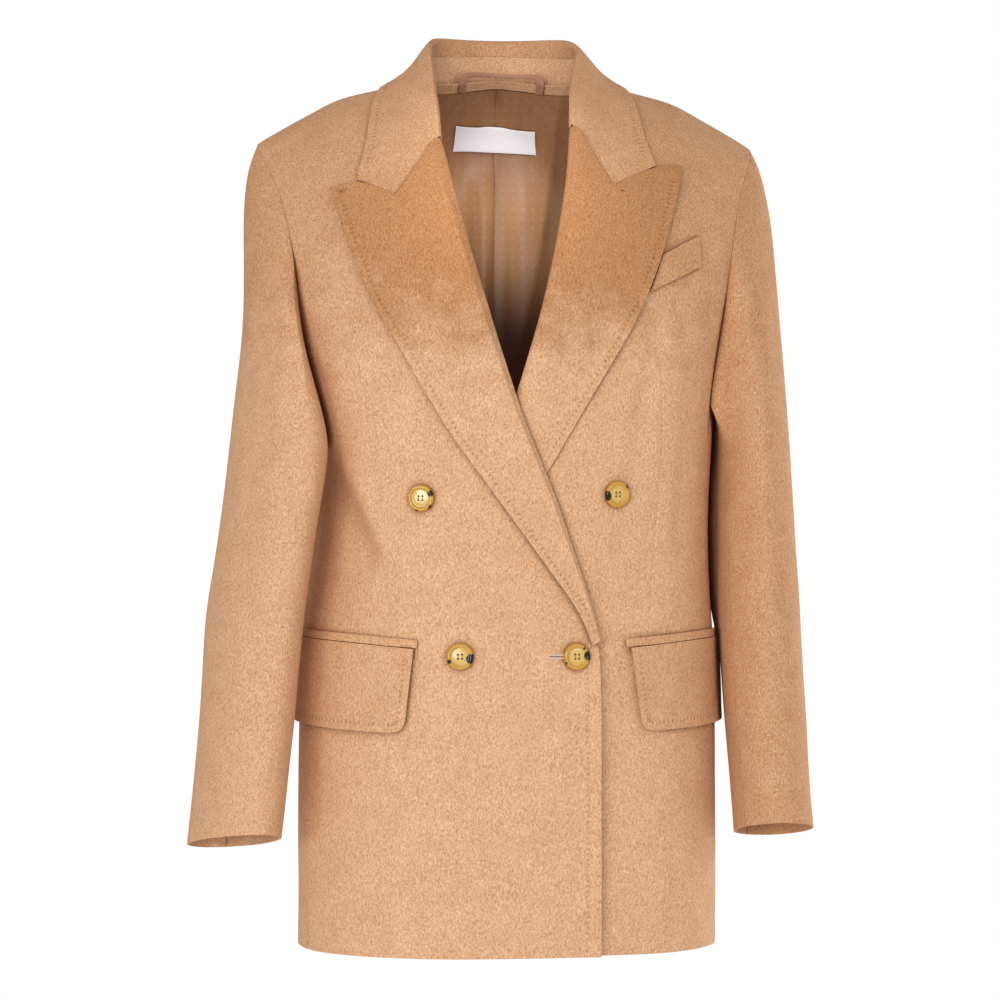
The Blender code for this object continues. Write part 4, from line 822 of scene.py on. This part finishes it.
def free_edge(cut, pitch):
    """The runs of a piece's rim that nothing is sewn to, in order, as points with their place along
    it."""
    bm = quads_of(cut.node)
    crease = bm.edges.layers.float["crease_edge"]
    sewn = tree_of([point for node in cut.sewn_to for point in rim_points(node)])
    points = mesh_points(NODES[cut.node].data)
    rim = [edge for edge in bm.edges if edge[crease] and is_free(edge, cut, sewn, points)]
    rim = [edge for edge in rim if all(is_outside(vert) for vert in edge.verts)]
    found = []
    seen = set()
    for first in rim:
        if first in seen:
            continue
        start = 0.0
        for run in straight_runs(walked(first, rim, seen)):
            places, start = places_along(run, start, pitch)
            found += places
    bm.free()
    return found


def is_free(edge, cut, sewn, points):
    """Whether this edge of the rim is where the cut's free edge is, with nothing sewn to it."""
    middle = (edge.verts[0].co + edge.verts[1].co) / 2
    level = points[np.argsort(np.abs(points[:, 2] - middle.z))[:LEVEL_POINTS]]
    halfway = (level[:, 0].min() + level[:, 0].max()) / 2
    on_side = cut.side == 0 or (middle.x - halfway) * cut.side > 0
    low, high = cut.heights
    return on_side and low < middle.z < high and sewn.find(middle)[2] > FREE_GAP


def straight_runs(chain):
    """The chain, parted at its corners."""
    runs = [[chain[0]]]
    for before, here, after in zip(chain, chain[1:], chain[2:]):
        runs[-1].append(here)
        if (here - before).angle(after - here, 0.0) > CORNER:
            runs.append([here])
    runs[-1].append(chain[-1])
    return runs


def places_along(run, start, pitch):
    """The run's points with their place along it. A row stops short of a corner, where its place
    stays at a whole stitch, and the next run begins at a whole stitch too. A short run has none."""
    whole = sum((after - before).length for before, after in zip(run, run[1:]))
    first = pitch * math.ceil((start + ROW_END) / pitch) - start
    last = max(first, pitch * math.floor((start + whole - ROW_END) / pitch) - start)
    found = []
    done = 0.0
    for before, after in zip(run, run[1:]):
        reach = (after - before).length
        steps = max(1, math.ceil(reach / ROW_STEP))
        for k in range(steps):
            place = done + reach * k / steps
            found.append((before.lerp(after, k / steps), start + min(max(place, first), last)))
        done += reach
    return found, pitch * round((start + whole) / pitch)


def is_outside(vert):
    """Whether this corner of the rim is on the side of the cloth that faces away from the wearer."""
    across = vert.normal.x * vert.co.x / BODY_WIDTH**2
    return across + vert.normal.y * vert.co.y / BODY_DEPTH**2 > 0


def walked(first, rim, seen):
    """The chain of rim corners through this edge, from end to end."""
    seen.add(first)
    chain = [first.verts[0], first.verts[1]]
    for forward in (True, False):
        while True:
            tip = chain[-1] if forward else chain[0]
            ahead = [edge for edge in tip.link_edges if edge in set(rim) and edge not in seen]
            if not ahead:
                break
            seen.add(ahead[0])
            far = ahead[0].other_vert(tip)
            chain.insert(len(chain) if forward else 0, far)
    return [vert.co.copy() for vert in chain]


def stitch_facts(cut, points, pitch):
    """For each point its distance from the row of stitches, its place along the row, and its distance
    from a dart. Beside them, its distance from the piece's free edge."""
    facts = np.full((len(points), 3), FAR)
    away = np.full(len(points), FAR)
    if cut.stitched:
        edge = free_edge(cut, pitch)
        tree = tree_of([point for point, _ in edge])
        for k, point in enumerate(points):
            _, index, away[k] = tree.find(point)
            facts[k, :2] = away[k] - cut.stitched, edge[index][1]
    if cut.node in DARTS:
        line = DARTS[cut.node]
        places, heights = zip(*reversed(line))
        across = np.interp(points[:, 2], heights, places)
        inside = (points[:, 2] > heights[0]) & (points[:, 2] < heights[-1])
        facts[:, 2] = np.where(inside, points[:, 0] - across, FAR)
    return facts, away


def smoothed(cut):
    """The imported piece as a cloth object, divided until it is smooth."""
    bm = quads_of(cut.node)
    push_out_rims(bm)
    mesh = bpy.data.meshes.new(cut.node)
    bm.to_mesh(mesh)
    bm.free()
    piece = linked(cut.node + "_cloth", mesh)
    divide = piece.modifiers.new("divide", "SUBSURF")
    divide.levels = divide.render_levels = SMOOTH_LEVELS
    return applied(piece)


def round_edges(piece, width):
    rounding = piece.modifiers.new("edge", "BEVEL")
    rounding.width = width
    rounding.segments = 2
    rounding.limit_method = "ANGLE"
    rounding.angle_limit = RIM_ANGLE


def sew(cut, material):
    piece = smoothed(cut)
    mesh = piece.data
    points = mesh_points(mesh)
    facts, away = stitch_facts(cut, points, settings().stitches.pitch)
    rows = mesh.attributes.new("stitch", "FLOAT_VECTOR", "POINT")
    rows.data.foreach_set("vector", facts.ravel())
    shown = np.clip((points[:, 2] - cut.covered) / COVER_FADE, 0, 1)
    lifts = cut.lift * shown * np.clip(1 - away / LIFT_REACH, 0, 1) ** LIFT_FALL
    mesh.vertices.foreach_set("co", folded(points, cut.node, settings().wool, lifts).ravel())
    mesh.update()
    mesh.shade_smooth()
    mesh.materials.clear()
    round_edges(piece, settings().wool.edge_round)
    dressed(piece, material, cut.node)


# Buttons, the buttonhole and the pockets' ends

# Half of a button's section as radii and heights, from the middle of its face to that of its back.
BUTTON_PROFILE = (
    (0.0000, 0.0025), (0.0050, 0.0025), (0.0068, 0.0024), (0.0077, 0.0023), (0.0082, 0.0026),
    (0.0086, 0.0038), (0.0092, 0.0042), (0.0100, 0.0042), (0.0108, 0.0038), (0.0115, 0.0030),
    (0.0118, 0.0020), (0.0116, 0.0011), (0.0110, 0.0005), (0.0097, 0.0001), (0.0080, 0.0000),
    (0.0000, 0.0000),
)  # fmt: skip
BUTTON_SIDES = 64
BUTTON_SHARP = math.radians(50)
BUTTON_PATCHES = {
    "button_upper_right": ((27, 0.0086, 0.0026), (-46, 0.0116, 0.0026), (-111, 0.0126, 0.0016)),
    "button_upper_left": ((188, 0.0095, 0.0042), (37, 0.0117, 0.0018)),
    "button_lower_right": ((-12, 0.0094, 0.0044), (204, 0.0108, 0.0017)),
    "button_lower_left": ((5, 0.0108, 0.0042), (211, 0.0114, 0.0015), (49, 0.0098, 0.0010)),
}
HOLE_RADIUS = 0.0010
HOLE_OUT = 0.0025  # from the middle of the button
HOLE_SIDES = 16
HOLE_DEPTH = 0.012
# A bundle of thread from one hole to the next: its share of the way, its height, and how many degrees
# it leans.
THREAD_PATH = (
    (0.0, 0.0004, 0), (0.0, 0.0026, -35), (0.2, 0.0033, -65), (0.5, 0.0035, -90), (0.8, 0.0033, -115),
    (1.0, 0.0026, -145), (1.0, 0.0004, 180),
)  # fmt: skip
THREAD_SIDES = 10
BUTTONHOLE_ENDS = ((0.0250, -0.5051), (0.0420, -0.5055))
BUTTONHOLE_BREADTH = 0.0014
BUTTONHOLE_THREAD = 0.00070
BUTTONHOLE_STEPS = 8
SLIT_PROUD = 0.0002  # how far the slit stands off the cloth
POCKET_ENDS = {"right_front": (-0.0898, -0.5020), "left_front": (0.0962, -0.5003)}
POCKET_END_SIZE = (0.0032, 0.0014, 0.0090)
POCKET_END_ROUND = 0.0005


def as_object(name, bm):
    mesh = bpy.data.meshes.new(name)
    bm.to_mesh(mesh)
    bm.free()
    return linked(name, mesh)


def placed(obj, matrix):
    """Puts the object's place in its mesh."""
    obj.data.transform(matrix)
    obj.data.update()
    return obj


def node_axes(node):
    """Where a packed button is sewn on: its middle at the back, and a matrix whose Z is its face."""
    points = mesh_points(NODES[node].data)
    centre = points.mean(axis=0)
    normal = np.linalg.svd(points - centre)[2][2]
    normal *= -np.sign(normal[1])
    back = ((points - centre) @ normal).min()
    place = Vector(centre + normal * back)
    return Matrix.Translation(place) @ Vector(normal).to_track_quat("Z", "Y").to_matrix().to_4x4()


def button_mesh():
    bm = bmesh.new()
    profile = [bm.verts.new((radius, 0.0, height)) for radius, height in BUTTON_PROFILE]
    edges = [bm.edges.new(pair) for pair in zip(profile, profile[1:])]
    bmesh.ops.spin(
        bm,
        geom=profile + edges,
        axis=(0, 0, 1),
        cent=(0, 0, 0),
        angle=math.tau,
        steps=BUTTON_SIDES,
        use_merge=True,
    )
    bmesh.ops.remove_doubles(bm, verts=bm.verts, dist=1e-6)
    bmesh.ops.recalc_face_normals(bm, faces=bm.faces)
    return bm


def hole_places():
    for k in range(4):
        turn = math.radians(45 + 90 * k)
        yield Vector((math.cos(turn), math.sin(turn), 0.0)) * HOLE_OUT


def holes_mesh():
    bm = bmesh.new()
    size = {"radius1": HOLE_RADIUS, "radius2": HOLE_RADIUS, "depth": HOLE_DEPTH}
    for place in hole_places():
        made = bmesh.ops.create_cone(bm, cap_ends=True, segments=HOLE_SIDES, **size)
        bmesh.ops.translate(bm, verts=made["verts"], vec=place)
    return bm


def ring_edges(ring):
    return {edge for vert in ring for edge in vert.link_edges if edge.other_vert(vert) in ring}


def thread_mesh(radius):
    """Two bundles of thread, each rising from a hole, crossing the face and going down the next
    hole."""
    bm = bmesh.new()
    holes = list(hole_places())
    for start, end in ((holes[0], holes[3]), (holes[1], holes[2])):
        across = (end - start).to_track_quat("Y", "Z").to_matrix()
        rings = []
        for share, rise, lean in THREAD_PATH:
            ring = bmesh.ops.create_circle(bm, segments=THREAD_SIDES, radius=radius)["verts"]
            turned = across @ Matrix.Rotation(math.radians(lean), 3, "X")
            bmesh.ops.rotate(bm, verts=ring, matrix=turned, cent=(0, 0, 0))
            point = start.lerp(end, share)
            bmesh.ops.translate(bm, verts=ring, vec=(point.x, point.y, rise))
            rings.append(ring)
        for one, other in zip(rings, rings[1:]):
            bmesh.ops.bridge_loops(bm, edges=list(ring_edges(one) | ring_edges(other)))
        for ring in (rings[0], rings[-1]):
            bmesh.ops.contextual_create(bm, geom=ring)
    bmesh.ops.recalc_face_normals(bm, faces=bm.faces)
    return bm


def on_cloth(node, across, height):
    """The place on the front of a sewn piece at this distance across and height, and its normal."""
    piece = bpy.data.objects[node + "_cloth"]
    hit, place, normal, _ = piece.ray_cast(Vector((across, -1, height)), Vector((0, 1, 0)))
    if not hit:
        raise RuntimeError(f"nothing of {node} at {across}, {height}")
    return place, normal


def buttonhole_line():
    """The buttonhole's closed outline on the cloth: two long sides and two round ends."""
    start, end = (Vector((x, 0.0, z)) for x, z in BUTTONHOLE_ENDS)
    side = Vector((0, 0, BUTTONHOLE_BREADTH))
    out = Vector((BUTTONHOLE_BREADTH, 0, 0))
    shares = [k / BUTTONHOLE_STEPS for k in range(BUTTONHOLE_STEPS + 1)]
    flat = [start.lerp(end, share) + side for share in shares] + [end + out]
    flat += [end.lerp(start, share) - side for share in shares] + [start - out]
    return [on_cloth("right_front", place.x, place.z)[0] for place in flat]


def corded(name, line, radius):
    """A closed cord along a line, as a mesh."""
    curve = bpy.data.curves.new(name, "CURVE")
    curve.dimensions = "3D"
    curve.bevel_depth = radius
    curve.bevel_resolution = 3
    spline = curve.splines.new("POLY")
    spline.points.add(len(line) - 1)
    spline.points.foreach_set("co", [value for place in line for value in (*place, 1.0)])
    spline.use_cyclic_u = True
    drawn = linked(name + "_line", curve)
    graph = bpy.context.evaluated_depsgraph_get()
    mesh = bpy.data.meshes.new_from_object(drawn.evaluated_get(graph))
    bpy.data.objects.remove(drawn)
    return linked(name, mesh)


def slit_mesh(line):
    """The cut inside the buttonhole, a face just proud of the cloth that carries its painted shade."""
    bm = bmesh.new()
    corners = [bm.verts.new(place - Vector((0, SLIT_PROUD, 0))) for place in line]
    bmesh.ops.contextual_create(bm, geom=corners)
    bmesh.ops.triangulate(bm, faces=bm.faces)
    bmesh.ops.recalc_face_normals(bm, faces=bm.faces)
    for face in bm.faces:
        if face.normal.y > 0:
            face.normal_flip()
    return bm


def pocket_end(node, place):
    """The sewn-down end of the pocket's lower jetting, beside the flap. No stitch is near it."""
    bm = bmesh.new()
    bmesh.ops.create_cube(bm, size=1.0)
    bmesh.ops.scale(bm, verts=bm.verts, vec=POCKET_END_SIZE)
    bmesh.ops.bevel(
        bm, geom=bm.edges, offset=POCKET_END_ROUND, segments=2, profile=0.5, affect="EDGES", material=-1
    )
    seat, normal = on_cloth(node, *place)
    turned = (-normal).to_track_quat("Y", "Z").to_matrix().to_4x4()
    end = placed(as_object(node.replace("front", "pocket_end"), bm), Matrix.Translation(seat) @ turned)
    end.data.shade_smooth()
    unstitched = end.data.attributes.new("stitch", "FLOAT_VECTOR", "POINT")
    unstitched.data.foreach_set("vector", [FAR] * (3 * len(end.data.vertices)))
    return end


def dressed(piece, material, node=""):
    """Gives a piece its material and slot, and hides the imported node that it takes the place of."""
    piece.data.materials.append(material)
    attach(piece, "root")
    if node:
        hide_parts(node)


# The stage

CAMERA_HEIGHT = -0.370
CAMERA_TURN = math.radians(-6)
CAMERA_SHIFT = -0.0056
SENSOR = 36.0
FLOOR_RADIUS = 3.9
WHITE = (1.0, 1.0, 1.0, 1.0)
AREA_LIGHTS = {  # where each stands, and how wide it is
    "key": ((-1.0, -3.2, -0.15), 0.8),
    "side": ((-1.9, -2.9, -0.4), 0.7),
    "fill": ((1.3, -3.1, 0.1), 0.8),
    "top": ((-0.3, -2.6, 1.5), 1.5),
    "rim": ((2.8, 1.6, -0.4), 1.6),
}
NECK_LIGHT = (-0.1, -3.2, 0.1)
NECK = (-0.008, 0.050, -0.080)
NECK_POOL = 0.21  # how wide the light is there


def new_lamp(name, kind, place, target, power):
    """A lamp that points at its target, and isn't seen itself."""
    lamp = bpy.data.lights.new(name, kind)
    lamp.energy = power
    obj = linked(name, lamp)
    obj.location = place
    obj.rotation_euler = (Vector(target) - Vector(place)).to_track_quat("-Z", "Y").to_euler()
    obj.visible_camera = False
    return lamp


def area_light(name, target, power):
    place, wide = AREA_LIGHTS[name]
    lamp = new_lamp(name, "AREA", place, target, power)
    lamp.shape = "SQUARE"
    lamp.size = wide


def neck_light(power):
    """A light that narrows to a pool inside the neck."""
    lamp = new_lamp("neck", "SPOT", NECK_LIGHT, NECK, power)
    reach = (Vector(NECK) - Vector(NECK_LIGHT)).length
    lamp.spot_size = 2 * math.atan(NECK_POOL / 2 / reach)
    lamp.spot_blend = 1.0
    lamp.shadow_soft_size = 0.08


def white_world(ambient):
    """A white surround: plain white where it is seen, and softer as a light."""
    world = bpy.data.worlds.new("studio")
    world.use_nodes = True
    bpy.context.scene.world = world
    tree = world.node_tree
    tree.nodes.clear()
    light = add(tree, "Background", {"Color": WHITE, "Strength": ambient})
    shown = add(tree, "Background", {"Color": WHITE, "Strength": 1.0})
    seen = add(tree, "LightPath").outputs["Is Camera Ray"]
    add(tree, "OutputWorld", {"Surface": add(tree, "MixShader", {0: seen, 1: light, 2: shown})})


def floor(own):
    bm = bmesh.new()
    bmesh.ops.create_circle(bm, cap_ends=True, segments=96, radius=FLOOR_RADIUS)
    made = placed(as_object("studio_floor", bm), Matrix.Translation((0, 0, -own.floor_drop)))
    material, tree, shader = new_material("studio_floor")
    feed(tree, shader, {"Base Color": own.floor, "Roughness": 0.9})
    made.data.materials.append(material)


def camera(own):
    lens = bpy.data.cameras.new("camera")
    lens.lens = own.lens
    lens.sensor_width = SENSOR
    lens.shift_x = CAMERA_SHIFT
    obj = linked("camera", lens)
    turned = Matrix.Rotation(CAMERA_TURN, 4, "Z")
    obj.location = turned @ Vector((0, -own.distance, CAMERA_HEIGHT))
    obj.rotation_euler = (math.pi / 2, 0, CAMERA_TURN)
    bpy.context.scene.camera = obj
    bpy.context.scene.view_settings.view_transform = "Standard"


# Operators


def settings():
    return bpy.context.scene.blazer


def sew_all(cuts, material):
    for cut in cuts:
        sew(cut, material)
    return {"FINISHED"}


class BLAZER_OT_body(bpy.types.Operator):
    """Fronts, side panels and back, with their folds and darts"""

    bl_idname = "blazer.body"
    bl_label = "Sew the body"

    def execute(self, context):
        # Painted shade on the chest, by the default share upper.
        return sew_all(BODY_CUTS, wool_cloth("wool_body"))


class BLAZER_OT_sleeves(bpy.types.Operator):
    """Top and under sleeves"""

    bl_idname = "blazer.sleeves"
    bl_label = "Sew the sleeves"

    def execute(self, context):
        # Painted shade: the left sleeve, away from the lights on the camera's left, is a darker copy.
        right = wool_cloth("wool_right_sleeve", turned=0.06, darker=0.12)
        sew_all(RIGHT_SLEEVE_CUTS, right)
        left = wool_cloth("wool_left_sleeve", turned=0.06, darker=0.45, upper=0.10)
        return sew_all(LEFT_SLEEVE_CUTS, left)


class BLAZER_OT_lapels(bpy.types.Operator):
    """Peak lapels, hand-picked along their edges"""

    bl_idname = "blazer.lapels"
    bl_label = "Sew the lapels"

    def execute(self, context):
        # Painted shade: the upper lapels, where they lean back from the light, are darker.
        return sew_all(LAPEL_CUTS, wool_cloth("wool_lapel", turned=0.5, upper=1.0))


class BLAZER_OT_collar(bpy.types.Operator):
    """Collar leaf, stand and the narrow strip under it"""

    bl_idname = "blazer.collar"
    bl_label = "Sew the collar"

    def execute(self, context):
        # Painted shade: the leaf is a darker copy of the cloth, and inside the neck the crevice shade
        # reaches further.
        leaf = wool_cloth("wool_collar_leaf", turned=1.2, darker=0.24, upper=0.20)
        sew_all(LEAF_CUTS, leaf)
        stand = wool_cloth("wool_stand", turned=1.5, upper=0.0, crevice=INNER_CREVICE)
        return sew_all(STAND_CUTS, stand)


class BLAZER_OT_pockets(bpy.types.Operator):
    """Flaps, jettings and the chest welt"""

    bl_idname = "blazer.pockets"
    bl_label = "Sew the pockets"

    def execute(self, context):
        # Painted shade: the pocket pieces are a darker copy of the cloth.
        cloth = wool_cloth("wool_pocket", darker=0.15)
        for node, place in POCKET_ENDS.items():
            dressed(pocket_end(node, place), cloth)
        return sew_all(POCKET_CUTS, cloth)


class BLAZER_OT_lining(bpy.types.Operator):
    """Satin lining, hanger loop and bare label"""

    bl_idname = "blazer.lining"
    bl_label = "Sew the lining"

    def execute(self, context):
        own = settings().satin
        lining = satin("lining_satin", own.lining, own.lining_dark, 0.40, own.dot_pitch, LINING_SHADES)
        sew_all(LINING_CUTS, lining)
        loop = satin("loop_satin", own.loop, darkened(own.loop, 0.8), 0.45)
        sew_all((LOOP_CUT,), loop)
        label = satin("label_satin", own.label, darkened(own.label, 0.97), 0.35, shine=0.3)
        return sew_all((LABEL_CUT,), label)


class BLAZER_OT_buttons(bpy.types.Operator):
    """Four horn buttons with their thread, and the worked buttonhole"""

    bl_idname = "blazer.buttons"
    bl_label = "Sew on the buttons"

    def execute(self, context):
        own = settings().buttons
        cutter = as_object("hole_cutter", holes_mesh())
        thread = thread_material("button_thread", own.thread)
        for node, patches in BUTTON_PATCHES.items():
            matrix = node_axes(node)
            button = as_object(node + "_horn", button_mesh())
            button.modifiers.new("holes", "BOOLEAN").object = cutter
            placed(applied(button), matrix)
            button.data.shade_smooth()
            button.data.set_sharp_from_angle(angle=BUTTON_SHARP)
            dressed(button, horn(node + "_horn", matrix.translation, patches), node)
            sewn = placed(as_object(node + "_thread", thread_mesh(own.thread_radius)), matrix)
            sewn.data.shade_smooth()
            dressed(sewn, thread)
        bpy.data.objects.remove(cutter)
        line = buttonhole_line()
        worked = corded("buttonhole_edge", line, BUTTONHOLE_THREAD)
        worked.data.shade_smooth()
        edging = thread_material("buttonhole_thread", own.buttonhole, BUTTONHOLE_TWIST)
        dressed(worked, edging)
        # The slit is a sheet painted with the shade of the cut.
        slit = as_object("buttonhole_slit", slit_mesh(line))
        inside = thread_material("buttonhole_dark", own.slit, BUTTONHOLE_TWIST)
        dressed(slit, inside)
        return {"FINISHED"}


class BLAZER_OT_stage(bpy.types.Operator):
    """Floor, soft light and camera"""

    bl_idname = "blazer.stage"
    bl_label = "Set the stage"

    def execute(self, context):
        own = settings().stage
        floor(own)
        white_world(own.ambient)
        for name in AREA_LIGHTS:
            area_light(name, (0, 0, CAMERA_HEIGHT), getattr(own, name))
        neck_light(own.neck)
        camera(own)
        return {"FINISHED"}


OPERATORS = (
    BLAZER_OT_body,
    BLAZER_OT_sleeves,
    BLAZER_OT_lapels,
    BLAZER_OT_collar,
    BLAZER_OT_pockets,
    BLAZER_OT_lining,
    BLAZER_OT_buttons,
    BLAZER_OT_stage,
)


class BLAZER_PT_panel(bpy.types.Panel):
    """Steps and settings of the blazer"""

    bl_idname = "BLAZER_PT_panel"
    bl_label = "Double Breasted Blazer"
    bl_space_type = "VIEW_3D"
    bl_region_type = "UI"
    bl_category = "Blazer"

    def draw(self, context):
        for group in ("wool", "stitches", "satin", "buttons", "stage"):
            box = self.layout.box()
            own = getattr(context.scene.blazer, group)
            for name in own.__annotations__:
                box.prop(own, name)
        for operator in OPERATORS:
            self.layout.operator(operator.bl_idname)


CLASSES = (
    WoolSettings,
    StitchSettings,
    SatinSettings,
    ButtonSettings,
    StageSettings,
    BlazerSettings,
    *OPERATORS,
    BLAZER_PT_panel,
)


def register():
    for kind in CLASSES:
        bpy.utils.register_class(kind)
    bpy.types.Scene.blazer = PointerProperty(type=BlazerSettings)


def unregister():
    del bpy.types.Scene.blazer
    for kind in reversed(CLASSES):
        bpy.utils.unregister_class(kind)


def main():
    register()
    bpy.ops.blazer.body()
    bpy.ops.blazer.sleeves()
    bpy.ops.blazer.lapels()
    bpy.ops.blazer.collar()
    bpy.ops.blazer.pockets()
    bpy.ops.blazer.lining()
    bpy.ops.blazer.buttons()
    bpy.ops.blazer.stage()


if __name__ == "__main__":
    main()
